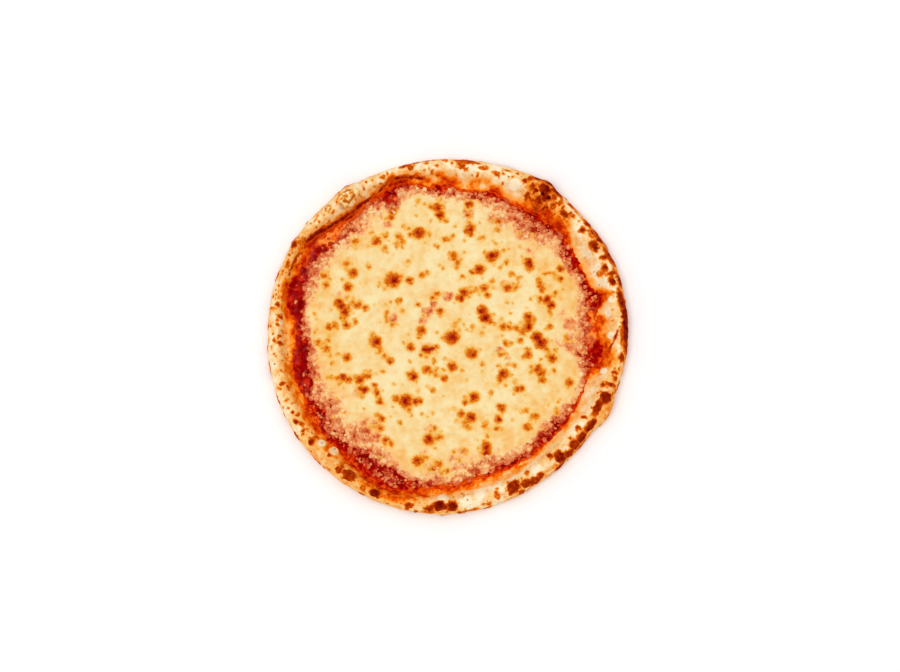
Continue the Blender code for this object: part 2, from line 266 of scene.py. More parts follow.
def dough_top(bearing, radius):
    """Height of the dough from the centre out to the crest, before its bubbles."""
    foot = outline(bearing) - around(FOOT_INSET, bearing)
    climb = ease((radius - foot) / (crest_radius(bearing) - foot))
    return BASE_THICKNESS + (around(RIM_HEIGHT, bearing) - BASE_THICKNESS) * climb


def turned(angle):
    """An angle in degrees, from -180 to 180."""
    return (angle + 180) % 360 - 180


def bubble_rise(bearing, inset):
    rise = np.zeros(np.broadcast(bearing, inset).shape)
    for place, depth, radius, height in BUBBLES:
        along = np.radians(turned(bearing - place)) * outline(bearing)
        away = np.hypot(along, inset - depth) / radius
        rise += height * np.maximum(0, 1 - away * away) ** 2
    return rise


def swelled(bearing, radius, height):
    """Points of the rim, pushed up and out from the rim's core by the bubbles near them."""
    core_radius = outline(bearing) - CORE_INSET
    core_height = WIDEST_SHARE * around(RIM_HEIGHT, bearing)
    out, up = np.maximum(0, radius - core_radius), np.maximum(0, height - core_height)
    length = np.maximum(np.hypot(out, up), 1e-6)
    weight = ease(height / core_height) * ease((radius - sauce_edge(bearing)) / BUBBLE_MARGIN)
    rise = bubble_rise(bearing, outline(bearing) - radius) * weight
    return radius + out / length * rise, height + up / length * rise


def plan(bearing, radius, height):
    """Points from bearings, radii and heights of one shape."""
    angle = np.radians(bearing)
    return np.stack([radius * np.cos(angle), radius * np.sin(angle), height + 0 * angle], axis=-1)


def between_rings(inner, outer):
    """Triangles facing up between two closed rings of point numbers; the outer one has no fewer points."""
    n, m = len(inner), len(outer)
    j = np.arange(m)
    a = np.floor((j + 0.5) * n / m + 0.5).astype(int)
    outward = np.stack([inner[a % n], outer[j], outer[(j + 1) % m]], axis=1)
    before = np.concatenate([[a[-1] - n], a[:-1]])
    steps = j[a > before]
    inward = np.stack([inner[before[steps] % n], outer[steps], inner[a[steps] % n]], axis=1)
    return np.concatenate([outward, inward])


def closed_skin(rings):
    """Points and outward triangles of a solid of rings, from the middle of its top to the middle of its
    underside. Each ring is an array of points evenly spread round the axis; the two ends have one point."""
    starts = np.cumsum([0] + [len(ring) for ring in rings])
    numbers = [np.arange(len(ring)) + start for ring, start in zip(rings, starts)]
    triangles = []
    for first, second in zip(numbers, numbers[1:]):
        if len(first) == 1:
            triangles.append(np.stack([np.repeat(first, len(second)), second, np.roll(second, -1)], axis=1))
        elif len(second) == 1:
            triangles.append(np.stack([np.repeat(second, len(first)), np.roll(first, -1), first], axis=1))
        elif len(first) <= len(second):
            triangles.append(between_rings(first, second))
        else:
            triangles.append(between_rings(second, first)[:, ::-1])
    return np.concatenate(rings), np.concatenate(triangles)


def bearings_of(count):
    return np.arange(count) * 360 / count


def fold_groove(points, bearing, radius):
    """How deep the folds cut here, and the same as a share of each fold's own depth, which also paints the
    folds dark: oil, and painted shade in the groove.
    """
    depth, mark = np.zeros(len(points)), np.zeros(len(points))
    for path, groove, width in FOLDS:
        places, radii = np.array(path, float).T
        shifted = places[0] + (bearing - places[0]) % 360
        middle = np.interp(shifted, places, radii)
        past = np.minimum(np.abs(turned(bearing - places[0])), np.abs(turned(bearing - places[-1]))) * DEGREE
        past = np.where((shifted >= places[0]) & (shifted <= places[-1]), 0, past)
        wobble = 0.8 * lumps(points * (1, 1, 0), 9, seed=3.3)
        away = np.hypot(radius - middle - wobble, past) / width
        share = np.exp(-away * away)
        depth = np.maximum(depth, groove * share)
        mark = np.maximum(mark, share * min(1, groove))
    return depth, mark


def dough_relief(places):
    """The dough's unevenness, up and down. The places are flat, so what lies on the dough can follow it."""
    return (
        0.50 * lumps(places, 24, seed=1.7)
        + 0.30 * lumps(places, 9, seed=5.1)
        + 0.17 * lumps(places, 3.6, 3, seed=8.3)
    )


def granules(places, size, seed):
    """Rounded grains, from about -1 between them to 1 on top of each."""
    return 1 - 2.1 * np.array([noise.voronoi(place)[0][0] for place in (places / size + seed).tolist()])


def curls(bearing, radius, wander):
    """Ridges curled round the middles of the torn bubbles, and how far they reach, as a share from 0 to 1."""
    ridge, reach = np.zeros(len(radius)), np.zeros(len(radius))
    for place, middle_radius, size, pitch in CURLS:
        along = np.radians(turned(bearing - place)) * middle_radius + 1.3 * wander[0]
        down = radius - middle_radius + 1.3 * wander[1]
        away = np.hypot(along / 1.25, down)
        spiral = away + pitch * np.arctan2(down, along) / (2 * math.pi)
        share = np.exp(-((away / size) ** 6))
        ridge += share * np.cos(2 * math.pi * spiral / pitch)
        reach = np.maximum(reach, share)
    return ridge, reach


bearing = bearings_of(ROUND)
out, top = outline(bearing), around(RIM_HEIGHT, bearing)
crest, start, widest = crest_radius(bearing), slope_foot(bearing), WIDEST_SHARE * top
rows, facing = [], []  # (radii, heights) of each row of the rim, and the way its skin faces
for row in range(SLOPE_ROWS):
    radius = start + (crest - start) * row / SLOPE_ROWS
    rows.append((radius, dough_top(bearing, radius)))
    facing.append((0, 1))
for row in range(SHOULDER_ROWS):
    turn = math.pi / 2 * row / SHOULDER_ROWS
    rows.append((crest + (out - crest) * math.sin(turn), widest + (top - widest) * math.cos(turn)))
    facing.append((math.sin(turn), math.cos(turn)))
for row in range(FLANK_ROWS + 1):
    turn = math.pi / 2 * row / FLANK_ROWS
    rows.append((out - CONTACT_INSET * (1 - math.cos(turn)), widest * (1 - math.sin(turn))))
    facing.append((math.cos(turn), -math.sin(turn)))
radius, height = (np.array([row[i] for row in rows]) for i in (0, 1))
facing = np.array(facing)[:, None, :]
bearings = np.broadcast_to(bearing, radius.shape)
radius, height = swelled(bearings, radius, height)
points = plan(bearings, radius, height).reshape(-1, 3)
middle = (points.min(0) + points.max(0)) / 2
cad_low, cad_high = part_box("crust")
shift = np.array([(cad_low.x + cad_high.x) / 2, (cad_low.y + cad_high.y) / 2, 0]) - middle * (MM, MM, 0)

# A second radius runs on down the outside of the rim, so that marks there aren't stretched.
steps = np.hypot(np.diff(radius, axis=0), np.diff(height, axis=0))
across = radius.copy()
across[SLOPE_ROWS + 1 :] = radius[SLOPE_ROWS] + np.cumsum(steps[SLOPE_ROWS:], axis=0)

unrolled = plan(bearings, across, 0).reshape(-1, 3)
wander = np.stack([lumps(unrolled, 3.4, 2, seed=seed) for seed in (11.0, 23.0)]).reshape(2, *radius.shape)
lobes = granules(unrolled, 3.3, 29.0).reshape(radius.shape)


def scorch_depth(places, from_above=True):
    """How far inside the nearest scorched blister each point of the rim lies, in millimetres, up to the
    depth of that blister; negative outside them all. A place gives its plain radius, as seen from above, or
    else its second radius."""
    deepest = np.full(radius.shape, NO_SCORCH)
    seen = slice(SLOPE_ROWS + SHOULDER_ROWS)
    for place, down, half_round, half_across, limit in places:
        if from_above:
            column = int(place / 360 * ROUND) % ROUND
            down = np.interp(down, radius[seen, column], across[seen, column])
        along = np.radians(turned(bearing - place)) * RIM_MIDDLE
        near = np.abs(along) < half_round + SCORCH_MARGIN
        small = min(half_round, half_across)
        ragged = 0.6 + 0.22 * small
        u = along[near] + ragged * wander[0][:, near]
        v = across[:, near] - down + ragged * wander[1][:, near]
        depth = (1 - np.hypot(u / half_round, v / half_across)) * small
        depth += min(1, small / 2) * (0.5 + 0.6 * lobes[:, near])
        deepest[:, near] = np.maximum(deepest[:, near], np.minimum(depth, limit))
    return deepest


def random_blisters(rng, count, *ranges):
    """Blisters with each of their numbers drawn from its own range."""
    return [tuple(rng.uniform(low, high) for low, high in ranges) for _ in range(count)]


# Blisters that the list leaves out: fine ones all round, and larger ones down the rim's outside.
rng = np.random.default_rng(7)
fine_blisters = random_blisters(rng, 420, (0, 360), (134, 151), (0.35, 0.9), (0.35, 0.8), (0.1, 0.8))
outer_blisters = random_blisters(rng, 110, (0, 360), (152, 166), (1, 4.5), (0.8, 2.2), (0.1, 1.3))
darker = around(GOLD, [blister[0] for blister in fine_blisters]) > rng.uniform(0, 0.6, len(fine_blisters))
fine_blisters = [blister for blister, kept in zip(fine_blisters, darker) if kept]
scorch = np.maximum(scorch_depth(SCORCHES), scorch_depth(fine_blisters))
scorch = np.maximum(scorch, scorch_depth(outer_blisters, from_above=False)).ravel()

flat_bearing, flat_across = bearings.ravel(), across.ravel()
# The folds' share paints them dark: partly with oil, partly with painted shade in the groove.
groove, fold_oil_and_shade = fold_groove(unrolled, flat_bearing, flat_across)
ridge, ridge_reach = curls(flat_bearing, flat_across, wander.reshape(2, -1))
pale, pale_rise = np.zeros(len(unrolled)), np.zeros(len(unrolled))
for place, middle_radius, size, rise in PALE_BUBBLES:
    along = np.radians(turned(flat_bearing - place)) * middle_radius
    away = np.hypot(along, flat_across - middle_radius) / size
    pale = np.maximum(pale, ease(2.2 - 2 * away))
    pale_rise = np.maximum(pale_rise, rise * np.sqrt(np.maximum(0, 1 - away * away)))
relief = dough_relief(unrolled) - groove + CURL_RISE * ridge
relief += BLISTER_RISE * ease((scorch + 0.4) / 1.6) + pale_rise
relief = relief.reshape(radius.shape) * ease(height / 2.5)
radius, height = radius + facing[..., 0] * relief, np.maximum(height + facing[..., 1] * relief, 0)

ragged_edge = lumps(unrolled, 5, 3, seed=31.0)
stain_edge = around(STAIN_EDGE, flat_bearing) + 1.8 * ragged_edge
stain_width = np.maximum(around(STAIN_EDGE, flat_bearing) - sauce_edge(flat_bearing), 1.5)
stain = np.clip((stain_edge + STAIN_FADE - flat_across) / (stain_width + 2 * STAIN_FADE), 0, 1.2)
stain *= around(STAIN_STRENGTH, flat_bearing)
stain *= ease((crest_radius(flat_bearing) + 7 - flat_across) / 4) * (1 - pale)
scorch = np.where(pale > 0.5, np.minimum(scorch, -1.5), scorch)
burnt_zone = np.zeros(len(unrolled))
for place, half_width, begins, strength in BURNT_ZONES:
    sideways = np.exp(-((turned(flat_bearing - place) / half_width) ** 4))
    outward = ease((flat_across + 1.6 * ragged_edge - begins) / 4)
    burnt_zone = np.maximum(burnt_zone, strength * sideways * outward)
burnt_zone *= ease((BROWNED_DOWN_TO - flat_across) / 14)
gold = around(GOLD, flat_bearing) + 0.5 * ease((flat_across - crest_radius(flat_bearing) - 6) / 10)
gold += 0.3 * ease(1 - (flat_across - stain_edge) / 9)
gold -= pale


def coarse_rings(steps, reach, surface):
    """Rings of a hidden part of a skin: for each (points, share), one at that share of the reach."""
    rings = []
    for count, share in steps:
        places = bearings_of(count)
        at = share * reach(places)
        rings.append(plan(places, at, surface(places, at)))
    return rings


def whole_field(values, before, after, hidden=0, beneath=0):
    """A field over a whole skin: its values, and one value each for the points before and after them."""
    return np.concatenate([np.full(before, hidden), values, np.full(after, beneath)])


# The floor under the sauce is hidden, so it is coarse. The underside is fine enough to be uneven.
rings = [np.array([[0, 0, BASE_THICKNESS]])]
rings += coarse_rings(((36, 0.3), (120, 0.62), (360, 0.85)), slope_foot, dough_top)
hidden_points = sum(len(ring) for ring in rings)
rings += list(plan(bearings, radius, height))
for row in range(UNDERSIDE_RINGS - 1, 0, -1):
    places = bearings_of(6 * row)
    ring = plan(places, (outline(places) - CONTACT_INSET) * row / UNDERSIDE_RINGS, 0)
    ring[:, 2] = STONE_HOLLOW * np.maximum(0, lumps(ring, 16, 2, seed=47.0) - 0.1)
    rings.append(ring)
rings.append(np.array([[0, 0, 0.1]]))
points, triangles = closed_skin(rings)

below = len(points) - hidden_points - radius.size
fields = {
    name: whole_field(values, hidden_points, below, hidden, beneath)
    for name, values, hidden, beneath in (
        ("scorch", scorch, NO_SCORCH, NO_SCORCH), ("stain", stain, 1, 0), ("fold", fold_oil_and_shade, 0, 0),
        ("curl", ridge_reach, 0, 0), ("ridge", ridge, 0, 0), ("burnt_zone", burnt_zone, 0, 0),
        ("gold", gold, 0.5, 0.5), ("underneath", ease(1 - height.ravel() / 3), 0, 1),
    )
}


def make_piece(name, points, triangles, fields, material):
    """A mesh object in metres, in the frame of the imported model, with one attribute for each field."""
    data = bpy.data.meshes.new(name)
    data.from_pydata((points * MM + shift).tolist(), [], triangles.tolist())
    for field, values in fields.items():
        data.attributes.new(field, "FLOAT", "POINT").data.foreach_set("value", values.astype(np.float32))
    data.shade_smooth()
    data.materials.append(material)
    piece = bpy.data.objects.new(name, data)
    bpy.context.scene.collection.objects.link(piece)
    return piece


def paint(red, green, blue):
    """A colour card's values, 0 to 255, as the light they reflect."""
    card = np.array([red, green, blue]) / 255
    return (*np.where(card <= 0.04045, card / 12.92, ((card + 0.055) / 1.055) ** 2.4).tolist(), 1.0)


def add(tree, kind, inputs=(), **settings):
    """A node with its settings, and its inputs linked or set."""
    node = tree.nodes.new(kind)
    for name, value in settings.items():
        setattr(node, name, value)
    for name, value in dict(inputs).items():
        if isinstance(value, bpy.types.NodeSocket):
            tree.links.new(value, node.inputs[name])
        else:
            node.inputs[name].default_value = value
    return node


def value_of(tree, name):
    return add(tree, "ShaderNodeAttribute", attribute_name=name).outputs["Fac"]


def maths(tree, operation, first, second=0.0, third=0.5, clamp=False):
    inputs = {0: first, 1: second, 2: third}
    return add(tree, "ShaderNodeMath", inputs, operation=operation, use_clamp=clamp).outputs[0]


def plus(tree, first, second):
    return maths(tree, "ADD", first, second)


def times(tree, first, second):
    return maths(tree, "MULTIPLY", first, second)


def spread(tree, value, low, high, to_low=0.0, to_high=1.0):
    """value, taken from low..high to to_low..to_high with soft ends."""
    made = add(tree, "ShaderNodeMapRange",
               {"Value": value, "From Min": low, "From Max": high, "To Min": to_low, "To Max": to_high},
               interpolation_type="SMOOTHSTEP")
    return made.outputs["Result"]


def blend(tree, share, first, second):
    """The first colour with a share of the second in it; sockets 6, 7 and 2 are the node's colours."""
    return add(tree, "ShaderNodeMix", {0: share, 6: first, 7: second}, data_type="RGBA").outputs[2]


def colour_steps(tree, value, *stops):
    """A colour ramp through (place, red, green, blue) stops."""
    node = add(tree, "ShaderNodeValToRGB", {"Fac": value})
    elements = node.color_ramp.elements
    while len(elements) < len(stops):
        elements.new(0.5)
    for element, (place, *card) in zip(elements, stops):
        element.position = place
        element.color = paint(*card)
    return node.outputs["Color"]


def new_group(name, inputs, outputs):
    """An empty shader group with these named sockets, and its two ends."""
    group = bpy.data.node_groups.new(name, "ShaderNodeTree")
    for socket, value in inputs.items():
        made = group.interface.new_socket(socket, in_out="INPUT", socket_type="NodeSocketFloat")
        made.default_value = value
    for socket, kind in outputs.items():
        group.interface.new_socket(socket, in_out="OUTPUT", socket_type="NodeSocket" + kind)
    return group, group.nodes.new("NodeGroupInput").outputs, group.nodes.new("NodeGroupOutput").inputs


# Noise from 0 to 1 over a piece; Size is the width of a grain in millimetres.
grain_group, given, result = new_group("grain", {"Size": 1, "Detail": 2, "Roughness": 0.5, "Shift": 0},
                                       {"Amount": "Float"})
shift_all = add(grain_group, "ShaderNodeCombineXYZ", {"X": given["Shift"], "Y": given["Shift"]}).outputs[0]
place = add(grain_group, "ShaderNodeTexCoord").outputs["Object"]
place = add(grain_group, "ShaderNodeVectorMath", {0: place, 1: shift_all}).outputs[0]
scale = maths(grain_group, "DIVIDE", 1 / MM, given["Size"])
made = add(grain_group, "ShaderNodeTexNoise",
           {"Vector": place, "Scale": scale, "Detail": given["Detail"], "Roughness": given["Roughness"]})
grain_group.links.new(made.outputs[0], result["Amount"])

# Small round specks: Size is the width of the cells that hold one each, Share how many of the cells do.
speck_group, given, result = new_group("specks", {"Size": 3, "Share": 0.5}, {"Mask": "Float"})
place = add(speck_group, "ShaderNodeTexCoord").outputs["Object"]
cells = add(speck_group, "ShaderNodeTexVoronoi",
            {"Vector": place, "Scale": maths(speck_group, "DIVIDE", 1 / MM, given["Size"])})
chance = add(speck_group, "ShaderNodeSeparateColor", {"Color": cells.outputs["Color"]}).outputs
speck_width = spread(speck_group, chance["Green"], 0, 1, 0.10, 0.24)
from_middle = maths(speck_group, "DIVIDE", cells.outputs["Distance"], speck_width)
spot = spread(speck_group, from_middle, 0.55, 1.1, 1, 0)
kept = maths(speck_group, "LESS_THAN", chance["Red"], given["Share"])
speck_group.links.new(times(speck_group, spot, kept), result["Mask"])


def grain(tree, size, detail=2.0, roughness=0.5, shift=0.0):
    sizes = {"Size": size, "Detail": detail, "Roughness": roughness, "Shift": shift}
    return add(tree, "ShaderNodeGroup", sizes, node_tree=grain_group).outputs["Amount"]


def waver(tree, low, high, *grain_sizes, shift=0.0):
    """A grain that wavers between low and high."""
    return spread(tree, grain(tree, *grain_sizes, shift=shift), 0.3, 0.7, low, high)


def specks(tree, size, share):
    return add(tree, "ShaderNodeGroup", {"Size": size, "Share": share}, node_tree=speck_group).outputs["Mask"]


def toasted(tree, amount, unseen, plain, *stops):
    """The plain colour, browned by this amount through (amount, red, green, blue) stops; the first of it, as
    much as unseen, doesn't show."""
    seen = spread(tree, maths(tree, "SUBTRACT", amount, unseen), 0.02, 0.22)
    return blend(tree, seen, plain, colour_steps(tree, amount, *stops))


def roughen(tree, shader, height, depth, strength):
    """A bump this deep, in metres, over the shader's surface."""
    bump = add(tree, "ShaderNodeBump", {"Height": height, "Distance": depth, "Strength": strength})
    tree.links.new(bump.outputs["Normal"], shader.inputs["Normal"])


def new_material(name, **constants):
    """A material with one Principled BSDF, whose plain values are set on its own sockets."""
    material = bpy.data.materials.new(name)
    material.use_nodes = True
    shader = material.node_tree.nodes["Principled BSDF"]
    for socket, value in constants.items():
        shader.inputs[socket.replace("_", " ")].default_value = value
    return material, material.node_tree, shader


baked_dough, tree, shader = new_material(
    "baked dough", Subsurface_Weight=0.1, Subsurface_Scale=0.002, Subsurface_Radius=(1, 0.55, 0.3),
    Specular_IOR_Level=0.02,
)
# The dough is cream to gold, with brown specks.
broad, fine, tiny = grain(tree, 12, 3), grain(tree, 2.4, 4, 0.6), grain(tree, 0.8, 2, 0.6, shift=0.3)
golden = plus(tree, value_of(tree, "gold"), spread(tree, broad, 0.3, 0.7, -0.46, 0.38))
golden = plus(tree, golden, spread(tree, fine, 0.3, 0.7, -0.18, 0.18))
dough = colour_steps(tree, golden, (0.0, 255, 234, 198), (0.25, 253, 222, 172), (0.5, 250, 206, 145),
                     (0.75, 247, 187, 112), (1.0, 241, 158, 72))
speckled = spread(tree, value_of(tree, "gold"), -0.2, 0.1, 0, 0.8)
dough = blend(tree, times(tree, specks(tree, 2.6, 0.3), speckled), dough, paint(186, 112, 48))
dough = blend(tree, times(tree, specks(tree, 5.0, 0.4), speckled), dough, paint(150, 70, 18))
# Red oil stains it from the sauce outwards, through orange to a pale glow.
oiled = value_of(tree, "stain")
patchy = plus(tree, waver(tree, -0.34, 0.38, 8, 3), waver(tree, -0.14, 0.14, 3, 2, shift=0.8))
oiled = plus(tree, oiled, times(tree, patchy, spread(tree, oiled, 0.0, 0.5)))
oil_colour = colour_steps(tree, times(tree, oiled, 0.7), (0.035, 255, 202, 134), (0.14, 255, 178, 92),
                          (0.25, 254, 152, 46), (0.36, 246, 122, 14), (0.49, 232, 90, 0),
                          (0.62, 212, 58, 0), (0.72, 190, 34, 0), (0.95, 142, 4, 0))
surface = blend(tree, spread(tree, oiled, 0.0, 0.16), dough, oil_colour)
pulp_flecks = times(tree, specks(tree, 2.4, 0.55), spread(tree, oiled, 0.35, 0.6))
surface = blend(tree, times(tree, pulp_flecks, 0.8), surface, paint(196, 44, 0))
# The curled skins are pale on their ridges.
ridged = plus(tree, maths(tree, "MULTIPLY_ADD", value_of(tree, "ridge"), 0.5, 0.5),
              spread(tree, fine, 0.3, 0.7, -0.3, 0.3))
curled = colour_steps(tree, ridged, (0.05, 190, 96, 14), (0.4, 222, 138, 42), (0.65, 246, 190, 104),
                      (0.9, 254, 226, 168))
surface = blend(tree, value_of(tree, "curl"), surface, curled)
depth = plus(tree, value_of(tree, "scorch"), spread(tree, fine, 0.25, 0.75, -0.4, 0.4))
# Round a blister the dough is toasted, half way at its edge; inside it browns on, fast and then slowly.
outside = maths(tree, "POWER", 2.0, maths(tree, "MINIMUM", times(tree, depth, 1.8), 0.0))
inside_pale = maths(tree, "POWER", 2.0, times(tree, maths(tree, "MAXIMUM", depth, 0.0), -1.0))
bake = maths(tree, "MULTIPLY_ADD", inside_pale, -0.55, maths(tree, "MULTIPLY_ADD", outside, 0.46, 0.55))
bake = maths(tree, "ADD", bake, waver(tree, -0.12, 0.04, 3.2, 2, shift=2.3), clamp=True)
# Where the flame browned the whole rim, the blisters crowd together, each with its own brown.
place = add(tree, "ShaderNodeTexCoord").outputs["Object"]
cells = add(tree, "ShaderNodeTexVoronoi", {"Vector": place, "Scale": 1 / (5.0 * MM)})
brown_of_cell = add(tree, "ShaderNodeSeparateColor", {"Color": cells.outputs["Color"]}).outputs["Red"]
heart = spread(tree, plus(tree, cells.outputs["Distance"], spread(tree, fine, 0.3, 0.7, -0.14, 0.14)), 0.26,
               0.48, 1, 0)
crowded = maths(tree, "MULTIPLY_ADD", times(tree, heart, brown_of_cell), 0.66, 0.38)
crowded = plus(tree, crowded, waver(tree, -0.2, 0.14, 4.6, 2, shift=1.7))
bake = maths(tree, "MAXIMUM", bake, times(tree, crowded, value_of(tree, "burnt_zone")))
under_oil = spread(tree, oiled, 0.15, 0.6, 0, 0.42)
surface = toasted(tree, bake, under_oil, surface, (0.0, 252, 208, 140), (0.15, 249, 190, 110),
                  (0.3, 243, 150, 56), (0.45, 227, 111, 17), (0.6, 198, 73, 0), (0.75, 154, 38, 0),
                  (0.9, 114, 10, 0), (1.0, 80, 0, 0))
# The folds are dark with oil and with painted shade, and the stone browned the underside.
folded_oil_and_shade = plus(tree, value_of(tree, "fold"), waver(tree, -0.35, 0.2, 4.5, 3, shift=3.1))
crease_oil_and_shade = blend(tree, spread(tree, folded_oil_and_shade, 0.4, 0.9), paint(210, 78, 4), paint(138, 14, 0))
surface = blend(tree, spread(tree, folded_oil_and_shade, 0.05, 0.6), surface, crease_oil_and_shade)
stone_heat = plus(tree, grain(tree, 8, 4, 0.65, shift=0.7), waver(tree, -0.13, 0.1, 45, 2))
stone_marks = colour_steps(tree, stone_heat, (0.35, 240, 196, 132), (0.5, 214, 150, 84), (0.6, 156, 86, 38),
                           (0.72, 84, 36, 14))
surface = blend(tree, value_of(tree, "underneath"), surface, stone_marks)
tree.links.new(surface, shader.inputs["Base Color"])
tree.links.new(spread(tree, oiled, 0.1, 0.7, 0.72, 0.36), shader.inputs["Roughness"])
roughen(tree, shader, plus(tree, fine, times(tree, tiny, 0.35)), 0.0005, 0.6)

crust = make_piece("baked_crust", points, triangles, fields, baked_dough)
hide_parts("crust")
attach(crust, "root")

# ---- Tomato sauce ----
# Crushed tomato, spread thin with a ladle and baked: pulpy and wet, with its oil risen at the edge.
# It lies on the dough's floor and climbs the foot of the rim; only a ring of it shows outside the cheese.

GAP = 0.3
SAUCE_THICKNESS = 1.2
SAUCE_EDGE_THICKNESS = 0.1
SAUCE_OVERRUN = 4.0  # past its edge the skin dips under the dough, so that the dough trims it
SAUCE_SINKING = 2.2
SAUCE_BEDDING = 0.8  # how deep in the dough its hidden underside lies
SAUCE_SKIRT = 2.8  # and how deep it lies under the part that shows
# Bearing, and how far short of its edge the skin thins to nothing and leaves only its oil on the dough.
SAUCE_DRAWN_IN = (
    (0, 1.5), (12, 1), (20, 0.5), (30, 0.5), (45, 1), (58, 0.8), (75, 3), (90, 3.5), (105, 4.5), (120, 3.5),
    (135, 4), (150, 1), (165, 0.5), (180, 3), (195, 1.5), (210, 1.5), (225, 1.5), (240, 2.5), (255, 2),
    (270, 4.5), (284, 5.5), (295, 4), (305, 2.5), (315, 2.5), (325, 2.5), (335, 2.5), (345, 2), (352, 1.5),
)
# Bearing, and how much orange oil stands on the sauce there.
SAUCE_OIL = (
    (0, 0.8), (7, 0.8), (13, 0.6), (20, 0.1), (30, 0.05), (60, 0.1), (75, 0.3), (90, 0.5), (105, 0.15),
    (112, 0.5), (120, 0.9), (128, 1.1), (138, 1), (150, 0.35), (165, 0), (180, 0.25), (195, 0), (210, 0.4),
    (225, 0.2), (255, 0.2), (270, 0.8), (284, 0.4), (295, 0.3), (305, 0.3), (315, 0.1), (325, 0.15),
    (335, 0.3), (345, 0.2), (352, 0.1), (356, 0.35),
)
SAUCE_UNDER_CHEESE = 24.0  # how far the fine part reaches in under the cheese
SAUCE_ROWS = 52


def sauce_top(bearing, radius):
    cheese = cheese_edge(bearing)
    thinning = ease((radius - cheese) / (sauce_edge(bearing) - cheese))
    thickness = SAUCE_THICKNESS + (SAUCE_EDGE_THICKNESS - SAUCE_THICKNESS) * thinning
    return dough_top(bearing, radius) + GAP + thickness


def edge_sinking(flat, bearing, radius):
    """How far each point lies past the skin's ragged edge, and how far the skin has sunk there."""
    past_edge = radius - sauce_edge(bearing) + around(SAUCE_DRAWN_IN, bearing)
    past_edge -= 1.8 * lumps(flat, 5, 3, seed=31.0) + 0.9 * lumps(flat, 2.2, 2, seed=37.0)
    return past_edge, SAUCE_SINKING * ease((past_edge + 1.2) / 3.5)


def pulp(places):
    """Lumps of crushed tomato."""
    return 0.28 * lumps(places, 4.5, 2, seed=61.0) + 0.24 * np.abs(lumps(places, 1.9, 2, seed=67.0))


def fine_sauce(bearing):
    """The radius where the sauce's fine part begins."""
    return cheese_edge(bearing) - SAUCE_UNDER_CHEESE


inner, edge = fine_sauce(bearing), sauce_edge(bearing)
rings = [np.array([[0, 0, sauce_top(0, 0)]])]
rings += coarse_rings(((36, 0.35), (120, 0.7), (360, 0.9)), fine_sauce, sauce_top)
coarse_points = sum(len(ring) for ring in rings)
sauce_radii = inner + (edge + SAUCE_OVERRUN - inner) * np.linspace(0, 1, SAUCE_ROWS)[:, None]
bearings = np.broadcast_to(bearing, sauce_radii.shape)
flat_bearing, flat_radius = bearings.ravel(), sauce_radii.ravel()
flat = plan(flat_bearing, flat_radius, 0)
past_edge, sinking = edge_sinking(flat, flat_bearing, flat_radius)
groove = fold_groove(flat, flat_bearing, flat_radius)[0]
ground = plan(flat_bearing, flat_radius, sauce_top(flat_bearing, flat_radius))
ground[:, 2] += pulp(flat) + dough_relief(flat) - groove - sinking
rings += list(ground.reshape(*sauce_radii.shape, 3))
for under in sauce_radii[:12:-3]:  # every third row, from the edge back in
    rings.append(plan(bearing, under, dough_top(bearing, under) - SAUCE_SKIRT))
rings += coarse_rings(((360, 0.8), (120, 0.6), (36, 0.3)), fine_sauce,
                      lambda *place: dough_top(*place) - SAUCE_BEDDING)
rings.append(np.array([[0, 0, BASE_THICKNESS - SAUCE_BEDDING]]))
points, triangles = closed_skin(rings)
rest = len(points) - coarse_points - len(ground)
fields = {
    "outer": whole_field(np.clip(1 + past_edge / 5, 0, 1), coarse_points, rest, beneath=1),
    "oil": whole_field(around(SAUCE_OIL, flat_bearing), coarse_points, rest),
}

wet_tomato, tree, shader = new_material(
    "wet tomato sauce", Roughness=0.1, Subsurface_Weight=0.08, Subsurface_Scale=0.0015,
    Subsurface_Radius=(1, 0.2, 0.08), Specular_IOR_Level=0.06,
)
pulpy = plus(tree, times(tree, grain(tree, 7, 3, 0.5), 0.7),
             times(tree, grain(tree, 2.4, 3, 0.5, shift=0.5), 0.3))
body = colour_steps(tree, pulpy, (0.36, 122, 0, 0), (0.48, 144, 0, 0), (0.56, 168, 5, 0),
                    (0.64, 206, 44, 10))
outer = plus(tree, value_of(tree, "outer"), waver(tree, -0.3, 0.3, 4.5, 3, shift=0.2))
oily = colour_steps(tree, outer, (0.35, 172, 8, 0), (0.6, 192, 30, 0), (0.82, 214, 60, 2),
                    (1.0, 232, 88, 4))
swirls = plus(tree, waver(tree, -0.4, 0.4, 8, 3, shift=1.1), waver(tree, -0.14, 0.14, 3, 2, shift=4.2))
pooled = plus(tree, value_of(tree, "oil"), swirls)
orange = colour_steps(tree, pooled, (0.4, 186, 22, 0), (0.6, 220, 58, 6), (0.8, 243, 104, 24),
                      (1.0, 252, 144, 56))
body = blend(tree, spread(tree, pooled, 0.35, 0.7), body, orange)
sauce_colour = blend(tree, spread(tree, outer, 0.35, 0.8), body, oily)
tree.links.new(sauce_colour, shader.inputs["Base Color"])
roughen(tree, shader, grain(tree, 1.4, 3, 0.5), 0.0005, 0.45)

sauce = make_piece("sauce_layer", points, triangles, fields, wet_tomato)
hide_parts("tomato_sauce")
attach(sauce, "root")

# ---- Mozzarella ----
# Low-moisture mozzarella, shredded over the sauce and melted into one sheet in the oven. Where steam lifted
# it, it blistered and browned; towards its edge it thins out into granules that the sauce tints pink.

CHEESE_THICKNESS = 2.4
WAVE_HEIGHT = 0.45
WAVE_LENGTH = 84.0
CHEESE_RINGS = 172
CHEESE_REACH = 9.0  # past the cheese's edge, where its last granules lie
SHORT_OF_SAUCE = 1.0
EDGE_BAND = 12  # the width of the outermost band, which sinks with the sauce's edge
SUNK_FILM = -0.6  # the thickness at which the sheet runs on under the sauce, unseen
SHEET_BEDDING = 1.6  # how deep under the sauce's top its hidden underside lies
SHEET_SKIRT = 3.6  # and how deep it lies near the edge
FAINT_BLISTERS = 210
FAINT_REACH = 118  # how far out they lie
